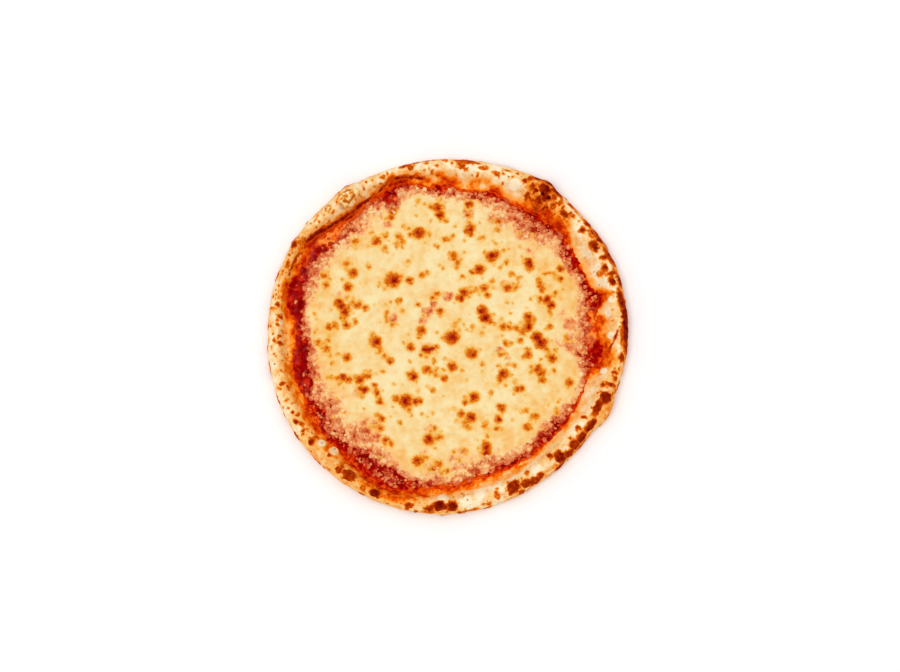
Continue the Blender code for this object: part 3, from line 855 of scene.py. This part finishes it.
# Bearing and width of the zone at the edge where the cheese is granular.
GRANULAR_WIDTH = (
    (0, 14), (15, 11), (25, 8), (38, 12), (50, 20), (62, 15), (80, 11), (95, 12), (105, 14), (120, 19),
    (145, 17), (165, 12), (190, 8), (205, 18), (220, 24), (240, 19), (255, 11), (268, 17), (290, 17),
    (310, 9), (335, 9), (350, 11),
)
# Bearing, and how much thicker or thinner than elsewhere the cheese ends there.
EDGE_THICKENING = (
    (0, -0.05), (15, -0.35), (30, -0.3), (45, 0.15), (60, 0), (75, -0.3), (90, 0.1), (105, 0.25),
    (118, 0.2), (128, -0.2), (140, -0.15), (150, 0), (165, -0.25), (195, -0.2), (210, -0.15), (225, -0.45),
    (240, -0.45), (255, -0.35), (270, 0.35), (285, 0.3), (300, 0.1), (315, -0.25), (330, -0.05), (345, 0.1),
)
# Bearing, and how golden the cheese is towards its edge, where oil soaks into it.
EDGE_GOLD = (
    (0, 0.8), (20, 0.9), (45, 0.75), (70, 0.25), (90, 0.15), (105, 0.2), (120, 0.5), (150, 0.6),
    (180, 0.75), (200, 0.85), (225, 0.8), (245, 0.9), (262, 1.0), (275, 0.6), (300, 0.75), (330, 0.65),
    (345, 0.7),
)
# Browned blisters: X, Y, radius and how brown, from 0.3 for golden to 1 for dark brown.
BLISTERS = (
    (-46, 47, 6.5, 1), (-32, 46, 3.5, 0.75), (-22, 51, 2.5, 0.6), (-17, 54, 1.5, 0.5), (-24, 87, 5, 0.95),
    (-9, 109, 3.6, 0.9), (-6.5, 103, 3.8, 0.95), (-25, 115, 2, 0.4), (-46, 106, 3.2, 0.8),
    (-47, 101, 2.6, 0.7), (-60, 80, 4, 0.7), (-52, 85, 2, 0.4), (-52, 75, 2, 0.4), (-38, 80, 2.5, 0.45),
    (-38, 93, 1.5, 0.35), (-33, 91, 1, 0.5), (-43, 75, 1, 0.4), (-77, 81, 3, 0.45), (-66, 58, 2, 0.35),
    (-79, 53, 4, 0.75), (-83, 41, 4, 0.75), (-104, 51, 2.5, 0.6), (-102, 43, 3, 0.6), (-85, 61, 2.5, 0.5),
    (-91, 28, 4, 0.8), (-88.5, 24, 3.6, 0.95), (-86, 20, 4, 0.9), (-75, 25, 3, 0.65), (-69, 23, 3, 0.6),
    (-58, 42, 1, 0.5), (-41, 29, 2.5, 0.5), (-48, 28, 1, 0.4), (-13, 32, 2, 0.55), (-9, 35, 2.2, 0.55),
    (-25, 26, 1.6, 0.4), (-7, 21, 2.5, 0.85), (-22, 4, 4, 0.75), (-77, 12, 2.5, 0.45), (-85, 8, 3, 0.75),
    (-99, 7, 3, 0.65), (-94, 8, 3, 0.6), (-51, 12, 1.5, 0.5), (-46, 9, 2, 0.45), (-3, 82, 2, 0.6),
    (-8, 75, 1.5, 0.6), (-4, 57, 1.5, 0.4), (-33, 63, 2, 0.3), (18, 112, 3.5, 0.85), (17, 103, 2.5, 0.7),
    (19, 91, 4, 0.85), (19, 86.5, 2.6, 0.7), (42, 98, 3, 0.75), (42, 90, 2.5, 0.45), (5, 69, 2.4, 0.6),
    (5, 65, 2.2, 0.6), (8, 62, 2.6, 0.65), (36, 67, 4.5, 0.95), (41, 70, 2.4, 0.5), (26, 56, 4, 1),
    (20, 54, 2.6, 0.65), (12, 50, 2, 0.4), (13.5, 36, 3.8, 0.9), (10.5, 32, 3.6, 0.95), (30, 40, 3.4, 0.7),
    (33, 34, 2.5, 0.7), (37, 46, 2, 0.4), (23, 39, 2, 0.4), (50, 40, 3, 0.65), (57, 41, 1.5, 0.5),
    (53, 52, 2.5, 0.5), (67, 62, 4, 0.9), (69, 57.5, 2.2, 0.6), (43, 57, 1.5, 0.3), (28.5, 21, 4.4, 0.95),
    (31, 15.5, 4.6, 1), (60, 76, 1.5, 0.3), (40, 78, 1.5, 0.3), (94, 57, 3, 0.85), (94, 48, 2.5, 0.7),
    (80, 52, 1.3, 0.4), (85, 53, 1.3, 0.4), (77, 41, 2.4, 0.5), (79, 38, 2.2, 0.5), (82.5, 30, 3.8, 0.9),
    (86.5, 26, 3.2, 0.85), (77, 31, 2, 0.6), (90, 36, 1.8, 0.5), (67, 16, 3.2, 0.7), (67, 12, 2.2, 0.75),
    (67, 7, 4, 1), (62, 3, 3, 0.6), (46, 7, 3, 0.65), (51, 7, 1.5, 0.5), (57, 6, 2.3, 0.6),
    (85, 7, 2.5, 0.5), (86, 17, 1.5, 0.4), (-60, -6, 5, 0.9), (-84, -19, 3.5, 0.75), (-53, -17, 1.5, 0.4),
    (-48, -22, 3, 0.75), (-31, -10, 3.2, 0.75), (-18, -12, 3.5, 0.9), (-14.5, -12, 2.2, 0.7),
    (-23, -17, 1.5, 0.5), (-9, -10, 2, 0.6), (-101, -12, 3, 0.6), (-108, -6, 3, 0.45), (-100, -5, 2, 0.45),
    (-96, -24, 2.2, 0.4), (-87, -36, 3, 0.9), (-83, -38, 3.2, 0.65), (-96, -36, 2, 0.3),
    (-69, -35, 2.4, 0.55), (-65, -35, 2, 0.5), (-73, -39, 2.4, 0.55), (-69, -46, 3, 0.85),
    (-73, -45, 2, 0.6), (-71, -53, 1.5, 0.4), (-61, -43, 2.3, 0.6), (-59, -50, 2.3, 0.6),
    (-57, -57, 2.4, 0.65), (-54, -31, 2, 0.4), (-29, -35, 4, 0.9), (-19, -31, 2.4, 0.45),
    (-16, -29, 2.4, 0.5), (-3, -37, 3, 0.75), (-10, -34, 2, 0.5), (-35, -56, 5.6, 1), (-43, -54, 3, 0.65),
    (-27, -57, 3.2, 0.7), (-23, -56.5, 2.6, 0.65), (-12, -48, 2, 0.4), (-22, -67, 1.5, 0.4),
    (-55, -71, 3, 0.7), (-56, -79, 3.2, 0.6), (-52, -89, 3, 0.75), (-47, -92, 2.2, 0.5),
    (-16, -89, 4.6, 0.9), (-8, -87, 2.4, 0.5), (-11, -79, 2, 0.6), (-25, -107, 4.5, 0.85),
    (-17, -104, 2, 0.4), (-7, -109, 3, 0.6), (-12, -113, 2.5, 0.6), (3, -2, 6, 1), (20, -16, 4.5, 0.95),
    (44, -16, 2.5, 0.5), (49, -8, 1.8, 0.5), (60, -5, 2.2, 0.6), (67, -17, 3, 0.75), (74, -2, 4.6, 1),
    (77, -7, 4.8, 1), (82, -12, 2, 0.55), (87, -20, 3.5, 0.9), (99, -2, 3, 0.5), (4, -27, 4, 0.8),
    (29, -25, 2, 0.45), (55, -26, 2, 0.5), (75, -29, 3.6, 0.8), (77, -33, 3.2, 0.75), (69, -27, 1.5, 0.4),
    (78, -38, 3.3, 0.6), (88, -31, 1.5, 0.35), (46, -33, 4, 0.95), (43, -36, 2.6, 0.7),
    (57.5, -46, 2.6, 0.85), (61, -45.5, 2.8, 0.9), (101, -41, 3.5, 0.75), (36, -49, 2, 0.5),
    (22, -53, 4.2, 0.9), (14, -58, 2, 0.7), (11, -67, 3, 0.65), (19, -70, 4.2, 0.95), (45, -62, 3.5, 0.65),
    (42, -72, 3, 0.85), (40, -80, 2, 0.65), (65, -64, 2.2, 0.5), (73, -69, 3, 0.6), (66, -77, 2.2, 0.6),
    (66, -80, 1.6, 0.5), (31, -75, 2.5, 0.3), (17, -79, 3, 0.3), (33, -86, 2, 0.4), (32, -95, 4.2, 1),
    (32, -99, 4, 0.95), (14, -98, 2.5, 0.45), (91, -57, 1.2, 0.4), (10, -107, 2, 0.3),
)
# A blister's brown: how far each point is past its edge, in widths of its fading, and how brown it is there.
FADING = ((-3, 0.58), (-1.5, 0.55), (0, 0.42), (0.8, 0.25), (1.6, 0.13), (2.6, 0.075), (4, 0.04), (6, 0))
# How thick the sheet is: outside the cheese's edge by distance, and inside it by granular zones' widths.
THICKNESS_OUTSIDE = ((-9, -0.8), (-4, -0.35), (-1.5, 0.1), (0, 0.4))
THICKNESS_INSIDE = ((0, 0.4), (0.3, 0.9), (0.65, 1.45), (1.05, 2.1), (1.8, CHEESE_THICKNESS))
# Where the sauce shows pink through the cheese: X, Y, radius and how thin it is.
THIN_PATCHES = (
    (0, 33, 5, 0.74), (-7.5, 22, 4.4, 0.78), (-17, 20, 6.5, 0.74), (-20, 13, 5, 0.7), (-26, 27, 4.5, 0.6),
    (-12, 34, 5, 0.66), (-46, 14, 6, 0.7), (43, -14, 5, 0.7), (48, 43, 6, 0.6), (-12, 27, 4, 0.8),
    (5, 66, 5, 0.6), (17, 103, 6, 0.65), (38, 100, 6, 0.65), (-50, 96, 6, 0.55), (-47, 112, 6, 0.9),
    (45, 98, 7, 0.6), (-15, -78, 6, 0.6), (-10, -83, 6, 0.5), (-20, -100, 7, 0.6), (-12, -113, 7, 0.7),
    (-31, -11, 5, 0.55), (-18, -12, 6, 0.55), (95, 20, 7, 0.55), (98, -5, 9, 0.6), (100, 10, 8, 0.6),
    (5, -108, 9, 0.6), (12, -100, 7, 0.5), (-60, -85, 7, 0.6), (-68, -78, 9, 0.65), (-60, -76, 7, 0.55),
    (-72, -48, 6, 0.55), (87, -20, 5, 0.45), (70, 70, 6, 0.5), (60, 92, 8, 0.6), (-83, 60, 7, 0.5),
    (-90, 35, 5, 0.45), (50, -20, 4, 0.45), (30, 62, 5, 0.4),
)


def along_curve(knots, places):
    """The straight-sided curve through (place, value) knots, read at these places."""
    return np.interp(places, *zip(*knots))


def sheet_reach(bearing):
    """How far out the last granules lie: never past where the sauce thins to nothing."""
    sauce_end = sauce_edge(bearing) - around(SAUCE_DRAWN_IN, bearing)
    return np.minimum(cheese_edge(bearing) + CHEESE_REACH, sauce_end - SHORT_OF_SAUCE)


rings = []
for row in range(CHEESE_RINGS + 1):
    places = bearings_of(max(1, 6 * row))
    rings.append(plan(places, sheet_reach(places) * row / CHEESE_RINGS, 0))
sheet = np.concatenate(rings)
flat = sheet.copy()
flat_radius = np.hypot(sheet[:, 0], sheet[:, 1])
flat_bearing = np.degrees(np.arctan2(sheet[:, 1], sheet[:, 0])) % 360
base = sauce_top(flat_bearing, flat_radius)
warp = np.stack([lumps(flat, 4.6, 2, seed=83.0), lumps(flat, 4.6, 2, seed=89.0), np.zeros(len(flat))], axis=1)

thin = np.zeros(len(sheet))
for x, y, size, strength in THIN_PATCHES:
    away = np.hypot(flat[:, 0] + warp[:, 0] - x, flat[:, 1] + warp[:, 1] - y) / size
    thin = np.maximum(thin, strength * np.exp(-(away**3)))

# Faint blisters that the list leaves out: some anywhere, and one beside each that it holds.
rng = np.random.default_rng(11)
faint_blisters = []
for _ in range(FAINT_BLISTERS):
    angle, reach = rng.uniform(0, 2 * math.pi), FAINT_REACH * math.sqrt(rng.uniform(0, 1))
    place = (reach * math.cos(angle), reach * math.sin(angle))
    faint_blisters.append((*place, rng.uniform(0.8, 2.4), rng.uniform(0.1, 0.42)))
for x, y, size, strength in BLISTERS:
    angle, reach = rng.uniform(0, 2 * math.pi), size + rng.uniform(1, 5)
    place = (x + reach * math.cos(angle), y + reach * math.sin(angle))
    faint_blisters.append((*place, rng.uniform(0.8, 2.2), rng.uniform(0.1, 0.6) * strength))
# Each is brown in the middle, with a darker heart to one side, and fades through gold to a glow round it.
feathering = lumps(flat, 2.1, 2, seed=109.0)
browning = np.zeros(len(sheet))
dome = np.zeros(len(sheet))
heart_side = rng.uniform(-0.3, 0.3, (len(BLISTERS) + len(faint_blisters), 2))
for (x, y, size, strength), (aside, along) in zip(list(BLISTERS) + faint_blisters, heart_side):
    near = np.hypot(flat[:, 0] - x, flat[:, 1] - y) < 2.2 * size + 7
    east, north = flat[near, 0] + warp[near, 0] - x, flat[near, 1] + warp[near, 1] - y
    away = np.hypot(east, north) + 0.4 * feathering[near]
    fading = (away - 0.9 * size) / (0.55 + 0.12 * size)
    body = along_curve(FADING, fading)
    heart_share = np.exp(-(np.hypot(east / size - aside, north / size - along) / 0.44) ** 2)
    found = strength ** 0.7 * body + 0.34 * strength * heart_share
    if size < 2.5:
        browning[near] = 1 - (1 - browning[near]) * (1 - found)
    else:
        browning[near] = np.maximum(browning[near], found)
    raised = min(1, size / 4) * strength * np.maximum(0, 1 - (away / size) ** 2) ** 1.5
    dome[near] = np.maximum(dome[near], raised)

turn = 2 * math.pi / WAVE_LENGTH
x, y = sheet[:, 0], sheet[:, 1]
wave = WAVE_HEIGHT * np.sin(turn * (x + 0.4 * y)) * np.cos(turn * (0.8 * y - 0.3 * x))
large_grains = granules(flat + 0.9 * warp, 5.2, 97.0)
small_grains = granules(flat + 0.6 * warp, 2.7, 131.0)
inside = cheese_edge(flat_bearing) - flat_radius
grainy = around(GRANULAR_WIDTH, flat_bearing)
thickness = np.where(
    inside < 0,
    along_curve(THICKNESS_OUTSIDE, inside),
    along_curve(THICKNESS_INSIDE, inside / grainy),
)
thickness += around(EDGE_THICKENING, flat_bearing) * ease(2.1 - inside / grainy)
thickness += wave * ease(inside / 7)
thickness *= 1 - 0.85 * thin
loose = np.maximum(1 - ease((inside - 0.2 * grainy) / (1.1 * grainy)), 0.5 * thin)
far_out = np.clip(1 + (inside + 2) / 7, 0.2, 1)
swells = lumps(flat, 8, 2, seed=101.0)
thickness += far_out * loose * (0.7 * large_grains + 0.32 * small_grains + 0.5 * swells)
thickness += (1 - loose) * (0.05 * small_grains + 0.10 * swells)
thickness += 0.10 * lumps(flat, 4, 2, seed=103.0)
left = sheet_reach(flat_bearing) - flat_radius
outermost = left < EDGE_BAND
sunk = np.zeros(len(sheet))
sunk[outermost] = edge_sinking(flat[outermost], flat_bearing[outermost], flat_radius[outermost])[1]
thickness = np.minimum(thickness, -0.9 + 1.1 * left + 0.5 * large_grains + 0.4 * small_grains)
film = np.clip(thickness, SUNK_FILM, 3)
uneven_bed = base + dough_relief(flat) * (1 - ease(inside / 14)) - sunk
sheet[:, 2] = uneven_bed + np.maximum(thickness + 0.5 * dome, SUNK_FILM)

starts = np.cumsum([len(ring) for ring in rings])[:-1]
rings = np.split(sheet, starts)
outermost_points = len(rings[-1])
skirt_steps = [(outermost_points, share) for share in (1.0, 0.98, 0.96)] + [(516, 0.94), (516, 0.92)]
bed_steps = ((258, 0.9), (86, 0.6), (30, 0.3), (1, 0.0))
rings += coarse_rings(skirt_steps, sheet_reach, lambda *place: sauce_top(*place) - SHEET_SKIRT)
rings += coarse_rings(bed_steps, sheet_reach, lambda *place: sauce_top(*place) - SHEET_BEDDING)
points, triangles = closed_skin(rings)
sheet_triangles = triangles[(triangles < len(sheet)).all(axis=1)]
sheet_rows = np.repeat(np.arange(CHEESE_RINGS + 1), [len(ring) for ring in rings[: CHEESE_RINGS + 1]])
rest = len(points) - len(sheet)
soaked = around(EDGE_GOLD, flat_bearing) * ease((46 - inside) / 36)
fields = {
    "browning": whole_field(browning, 0, rest),
    "soaked": whole_field(soaked, 0, rest),
    "film": whole_field(film, 0, rest, beneath=SUNK_FILM),
}

melted_cheese, tree, shader = new_material(
    "melted mozzarella", Subsurface_Weight=0.15, Subsurface_Scale=0.0015, Subsurface_Radius=(1, 0.6, 0.3),
    Specular_IOR_Level=0.06,
)
mottled = plus(tree, times(tree, grain(tree, 13, 2, 0.4), 0.6),
               times(tree, grain(tree, 4.6, 2, 0.5, shift=0.4), 0.4))
mottled = maths(tree, "MULTIPLY_ADD", value_of(tree, "soaked"), 0.2, mottled)
cream = colour_steps(tree, mottled, (0.35, 246, 227, 175), (0.48, 245, 218, 160), (0.6, 244, 206, 137),
                     (0.73, 243, 188, 106), (0.87, 239, 168, 76))
cream = blend(tree, times(tree, specks(tree, 3.6, 0.35), 0.45), cream, paint(240, 168, 66))
# Towards the edge the sheet is lumpy and lets the sauce through in flecks.
flecks = plus(tree, waver(tree, -0.4, 0.4, 5.5, 3, shift=0.6),
              spread(tree, grain(tree, 1.8, 2), 0.25, 0.75, -0.22, 0.22))
flecks = times(tree, flecks, spread(tree, value_of(tree, "film"), 1.3, 2.6, 1, 0))
covering = plus(tree, value_of(tree, "film"), flecks)
tinted = colour_steps(tree, spread(tree, covering, -0.1, 2.0), (0.0, 152, 10, 2), (0.06, 176, 40, 14),
                      (0.15, 200, 76, 36), (0.28, 219, 110, 58), (0.47, 233, 143, 82),
                      (0.66, 243, 171, 106), (0.86, 248, 197, 132))
cheese = blend(tree, spread(tree, covering, 1.2, 2.0), tinted, cream)
browned = value_of(tree, "browning")
uneven = plus(tree, waver(tree, -0.08, 0.08, 2.6, 2), waver(tree, -0.1, 0.1, 1.3, 3, 0.6, shift=2.9))
uneven = times(tree, uneven, spread(tree, browned, 0.03, 0.35))
cheese = toasted(tree, plus(tree, browned, uneven), 0.0, cheese, (0.0, 245, 210, 126), (0.15, 243, 186, 88),
                 (0.3, 235, 150, 40), (0.45, 220, 108, 7), (0.6, 198, 70, 0), (0.75, 170, 34, 0),
                 (0.9, 142, 8, 0), (1.0, 122, 0, 0))
tree.links.new(cheese, shader.inputs["Base Color"])
tree.links.new(waver(tree, 0.22, 0.36, 3.5, 2, shift=0.9), shader.inputs["Roughness"])
roughen(tree, shader, grain(tree, 1.3, 3, 0.5), 0.0004, 0.35)

cheese_sheet = make_piece("mozzarella_sheet", points, triangles, fields, melted_cheese)
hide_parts("mozzarella")
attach(cheese_sheet, "root")

# ---- Cheese curds ----
# At the sheet's edge, and loose in the sauce beyond, the shreds of mozzarella shrank in the oven into soft
# curds, pink with sauce.

CURD_LENGTHS = (2.4, 6.2)
CURD_SPACING = 2.1
MOST_CURDS = 500000.0  # to a square metre, before those that would lie too close are left out
CURD_FLATNESS = 0.5
CURD_UNEVENNESS = 1.0
CURD_SUNK = 0.4  # how deep they sit in what they lie on, as a share of half their height
CURDS_FROM = 0.8  # the share of the way out to the sheet's end where they begin
ROOM_FOR_CURDS = ((-0.1, 0), (0.35, 1), (1.1, 1), (1.6, 0))  # by how thick the sheet is
# Bearing, and how thickly curds lie on the sauce outside the sheet.
STRAY_CURDS = (
    (0, 0.6), (20, 0.8), (60, 0.9), (80, 0.7), (100, 0.25), (130, 0.2), (150, 0.2), (166, 0.12),
    (196, 0.12), (210, 0.4), (225, 0.85), (262, 0.85), (275, 0.55), (300, 0.9), (330, 0.8), (350, 0.5),
)


def new_scatter():
    """A tree that strews small rounded lumps over a surface, as thick as its "room" attribute says."""
    tree = bpy.data.node_groups.new("strewn lumps", "GeometryNodeTree")
    tree.interface.new_socket("Surface", in_out="INPUT", socket_type="NodeSocketGeometry")
    for socket in ("Density", "Spacing", "Smallest", "Largest", "Flatness", "Unevenness", "Sunk"):
        tree.interface.new_socket(socket, in_out="INPUT", socket_type="NodeSocketFloat")
    tree.interface.new_socket("Seed", in_out="INPUT", socket_type="NodeSocketInt")
    tree.interface.new_socket("Finish", in_out="INPUT", socket_type="NodeSocketMaterial")
    tree.interface.new_socket("Lumps", in_out="OUTPUT", socket_type="NodeSocketGeometry")
    given = add(tree, "NodeGroupInput").outputs
    room = add(tree, "GeometryNodeInputNamedAttribute", {"Name": "room"}, data_type="FLOAT")
    places = add(tree, "GeometryNodeDistributePointsOnFaces",
                 {"Mesh": given["Surface"], "Distance Min": given["Spacing"], "Density Max": given["Density"],
                  "Density Factor": room.outputs["Attribute"], "Seed": given["Seed"]},
                 distribute_method="POISSON")
    chance = add(tree, "FunctionNodeRandomValue", {2: 0.0, 3: 1.0, "Seed": given["Seed"]})
    more = maths(tree, "SUBTRACT", given["Largest"], given["Smallest"])
    size = maths(tree, "MULTIPLY_ADD", maths(tree, "POWER", chance.outputs[1], 1.5), more, given["Smallest"])
    turn = add(tree, "FunctionNodeRandomValue", {0: (-0.35, -0.35, 0), 1: (0.35, 0.35, 2 * math.pi)},
               data_type="FLOAT_VECTOR")
    stretch = add(tree, "FunctionNodeRandomValue", {2: 0.5, 3: 1.0, "Seed": 5})
    tone = add(tree, "FunctionNodeRandomValue", {2: 0.0, 3: 1.0, "Seed": 6})
    half = times(tree, size, 0.5)
    height = times(tree, half, given["Flatness"])
    shape = add(tree, "ShaderNodeCombineXYZ",
                {"X": half, "Y": times(tree, half, stretch.outputs[1]), "Z": height})
    down = add(tree, "ShaderNodeCombineXYZ", {"Z": times(tree, height, times(tree, given["Sunk"], -1.0))})
    lowered = add(tree, "GeometryNodeSetPosition",
                  {"Geometry": places.outputs["Points"], "Offset": down.outputs[0]})
    lump = add(tree, "GeometryNodeMeshIcoSphere", {"Radius": 1.0, "Subdivisions": 2})
    strewn = add(tree, "GeometryNodeInstanceOnPoints",
                 {"Points": lowered.outputs[0], "Instance": lump.outputs["Mesh"],
                  "Rotation": turn.outputs[0], "Scale": shape.outputs[0]})
    toned = add(tree, "GeometryNodeStoreNamedAttribute",
                {"Geometry": strewn.outputs[0], "Name": "tone", "Value": tone.outputs[1]},
                data_type="FLOAT", domain="INSTANCE")
    real = add(tree, "GeometryNodeRealizeInstances", {"Geometry": toned.outputs[0]})
    rough = add(tree, "ShaderNodeTexNoise", {"Scale": 1 / (2.4 * MM), "Detail": 1.0})
    centred = add(tree, "ShaderNodeVectorMath", {0: rough.outputs["Color"], 1: (0.5, 0.5, 0.5)},
                  operation="SUBTRACT")
    pushed = add(tree, "ShaderNodeVectorMath", {0: centred.outputs[0], "Scale": given["Unevenness"]},
                 operation="SCALE")
    uneven = add(tree, "GeometryNodeSetPosition", {"Geometry": real.outputs[0], "Offset": pushed.outputs[0]})
    smooth = add(tree, "GeometryNodeSetShadeSmooth", {"Geometry": uneven.outputs[0]})
    finished = add(tree, "GeometryNodeSetMaterial",
                   {"Geometry": smooth.outputs[0], "Material": given["Finish"]})
    end = tree.nodes.new("NodeGroupOutput")
    tree.links.new(finished.outputs[0], end.inputs["Lumps"])
    return tree


scatter = new_scatter()


def strew(name, points, triangles, fields, finish, **sizes):
    """A mesh of lumps strewn over these triangles; lengths are in metres."""
    ground = make_piece(name, points, triangles, fields, finish)
    modifier = ground.modifiers.new("strewn lumps", "NODES")
    modifier.node_group = scatter
    sizes["Finish"] = finish
    for item in scatter.interface.items_tree:
        if item.name in sizes:
            modifier[item.identifier] = sizes[item.name]
    evaluated = ground.evaluated_get(bpy.context.evaluated_depsgraph_get())
    strewn = bpy.data.meshes.new_from_object(evaluated)
    ground.modifiers.remove(modifier)
    ground.data = strewn
    strewn.name = name
    return ground


# The curds lie on the sheet's outer part, where it thins out.
edge_rows = (sheet_rows > CURDS_FROM * CHEESE_RINGS)[sheet_triangles].all(axis=1)
curd_bed = sheet.copy()
curd_bed[:, 2] = uneven_bed + np.maximum(thickness + 0.5 * dome, -0.1)
curd_room = along_curve(ROOM_FOR_CURDS, film) * loose
stray = around(STRAY_CURDS, flat_bearing) * ease((left - 1.5) / 2) * ease((3 - inside) / 3) * (film < 0.9)
curd_room = np.maximum(curd_room, stray * ease((lumps(flat, 9, 2, seed=151.0) + 0.5) / 0.5))
pink_curd, tree, shader = new_material(
    "sauced cheese curd", Subsurface_Weight=0.1, Subsurface_Scale=0.0015, Subsurface_Radius=(1, 0.5, 0.3),
    Specular_IOR_Level=0.12, Roughness=0.25,
)
creamy = maths(tree, "MULTIPLY_ADD", value_of(tree, "tone"), 0.26, -0.02)
creamy = maths(tree, "MULTIPLY_ADD", value_of(tree, "film"), 0.5, creamy)
creamy = plus(tree, creamy, waver(tree, -0.2, 0.2, 4.5, 2, 0.5))
creamy = plus(tree, creamy, waver(tree, -0.09, 0.09, 1.6, 3, 0.6))
curd_colour = colour_steps(tree, creamy, (0.0, 176, 34, 14), (0.18, 204, 80, 42), (0.36, 221, 116, 68),
                           (0.55, 236, 150, 94), (0.75, 247, 186, 126), (0.95, 252, 213, 156))
tree.links.new(curd_colour, shader.inputs["Base Color"])
roughen(tree, shader, grain(tree, 0.7, 2), 0.0002, 0.5)
curds = strew(
    "cheese_curds", curd_bed, sheet_triangles[edge_rows], {"room": curd_room, "film": np.maximum(film, 0.3)},
    pink_curd, Density=MOST_CURDS, Spacing=CURD_SPACING * MM, Smallest=CURD_LENGTHS[0] * MM,
    Largest=CURD_LENGTHS[1] * MM, Flatness=CURD_FLATNESS, Unevenness=CURD_UNEVENNESS * MM, Sunk=CURD_SUNK,
    Seed=3,
)
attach(curds, "root")

# ---- Oil beads ----
# The fat that the cheese lost in the oven stands on the sauce in small orange beads, outside the sheet.

BEAD_WIDTHS = (0.5, 1.3)
BEAD_SPACING = 2.0
MOST_BEADS = 80000.0  # to a square metre, before the same
BEAD_FLATNESS = 0.4
BEAD_SUNK = 0.2

ring_rows = ground.reshape(*sauce_radii.shape, 3)[:, ::2]
row_numbers, columns = ring_rows.shape[:2]
i, j = np.meshgrid(np.arange(row_numbers - 1), np.arange(columns), indexing="ij")
a, b = i * columns + j, i * columns + (j + 1) % columns
quads = np.stack([a, a + columns, b + columns, b], axis=-1).reshape(-1, 4)
ring_points = ring_rows.reshape(-1, 3)
ring_radius = np.hypot(ring_points[:, 0], ring_points[:, 1])
ring_bearing = np.degrees(np.arctan2(ring_points[:, 1], ring_points[:, 0])) % 360
past_cheese = ring_radius - cheese_edge(ring_bearing)
before_edge = sauce_edge(ring_bearing) - around(SAUCE_DRAWN_IN, ring_bearing) - ring_radius
bead_room = ease((past_cheese + 1) / 2) * ease((before_edge + 1) / 2)
orange_oil, tree, shader = new_material("risen oil", Roughness=0.06, Specular_IOR_Level=0.5)
oil_colour = colour_steps(tree, grain(tree, 4, 2), (0.4, 180, 14, 4), (0.6, 216, 60, 10))
tree.links.new(oil_colour, shader.inputs["Base Color"])
beads = strew(
    "oil_beads", ring_points, quads, {"room": bead_room}, orange_oil, Density=MOST_BEADS,
    Spacing=BEAD_SPACING * MM, Smallest=BEAD_WIDTHS[0] * MM, Largest=BEAD_WIDTHS[1] * MM,
    Flatness=BEAD_FLATNESS, Unevenness=0.0, Sunk=BEAD_SUNK, Seed=8,
)
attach(beads, "root")

# ---- Table, light and camera ----
# A plain pale table in an even pale room, with three broad lamps that show in no gloss: a window's at the
# near left, a fill at the far right and a weak one at the far left. A fourth lamp shows in gloss only, as the
# glints. The camera looks down from the pizza's near side.

ELEVATION = math.radians(77.5)
LENS = 300  # in millimetres, as the sensor's width is
SENSOR_WIDTH = 36
DISTANCE = 6.25
ROOM_LIGHT = 0.705
LAMP_LIGHT = 0.83
FILL_LIGHT = 0.25
SIDE_LIGHT = 0.15
GLINT_LIGHT = 0.6
AIM = (0.0017, 0.0009, 0)  # in metres, in the dough's own frame
TABLE_HALF = 3  # metres
table_mesh = bpy.data.meshes.new("table")
corners = [(x * TABLE_HALF, y * TABLE_HALF, 0) for x, y in ((-1, -1), (1, -1), (1, 1), (-1, 1))]
table_mesh.from_pydata(corners, [], [(0, 1, 2, 3)])
table = bpy.data.objects.new("table", table_mesh)
bpy.context.scene.collection.objects.link(table)
pale_table, tree, shader = new_material("pale table", Roughness=0.8, Specular_IOR_Level=0.1)
shader.inputs["Base Color"].default_value = (0.98, 0.98, 0.98, 1)
table_mesh.materials.append(pale_table)

for name, strength, width, direction, in_gloss in (
    ("window light", LAMP_LIGHT, 30, (-0.28, -0.24, 1.0), False),
    ("fill light", FILL_LIGHT, 40, (0.5, 0.4, 1.0), False),
    ("side light", SIDE_LIGHT, 20, (-0.45, 0.35, 1.0), False),
    ("glint light", GLINT_LIGHT, 6, (-0.45, 0.35, 1.0), True),
):
    lamp = bpy.data.lights.new(name, "SUN")
    lamp.energy, lamp.angle = strength, math.radians(width)
    lamp_object = bpy.data.objects.new(name, lamp)
    lamp_object.rotation_euler = Vector(direction).to_track_quat("Z", "Y").to_euler()
    lamp_object.visible_glossy = in_gloss
    lamp_object.visible_diffuse = not in_gloss
    bpy.context.scene.collection.objects.link(lamp_object)

world = bpy.data.worlds.new("pale room")
world.use_nodes = True
world.node_tree.nodes["Background"].inputs["Color"].default_value = (1, 1, 1, 1)
world.node_tree.nodes["Background"].inputs["Strength"].default_value = ROOM_LIGHT
world.cycles_visibility.glossy = False
bpy.context.scene.world = world
bpy.context.scene.view_settings.view_transform = "Standard"

camera_data = bpy.data.cameras.new("camera")
camera_data.lens, camera_data.sensor_width = LENS, SENSOR_WIDTH
camera = bpy.data.objects.new("camera", camera_data)
aim = Vector(AIM) + Vector(shift)
camera.location = aim + DISTANCE * Vector((0, -math.cos(ELEVATION), math.sin(ELEVATION)))
camera.rotation_euler = (math.pi / 2 - ELEVATION, 0, 0)
camera_data.clip_start, camera_data.clip_end = 0.05, 20
bpy.context.scene.collection.objects.link(camera)
bpy.context.scene.camera = camera
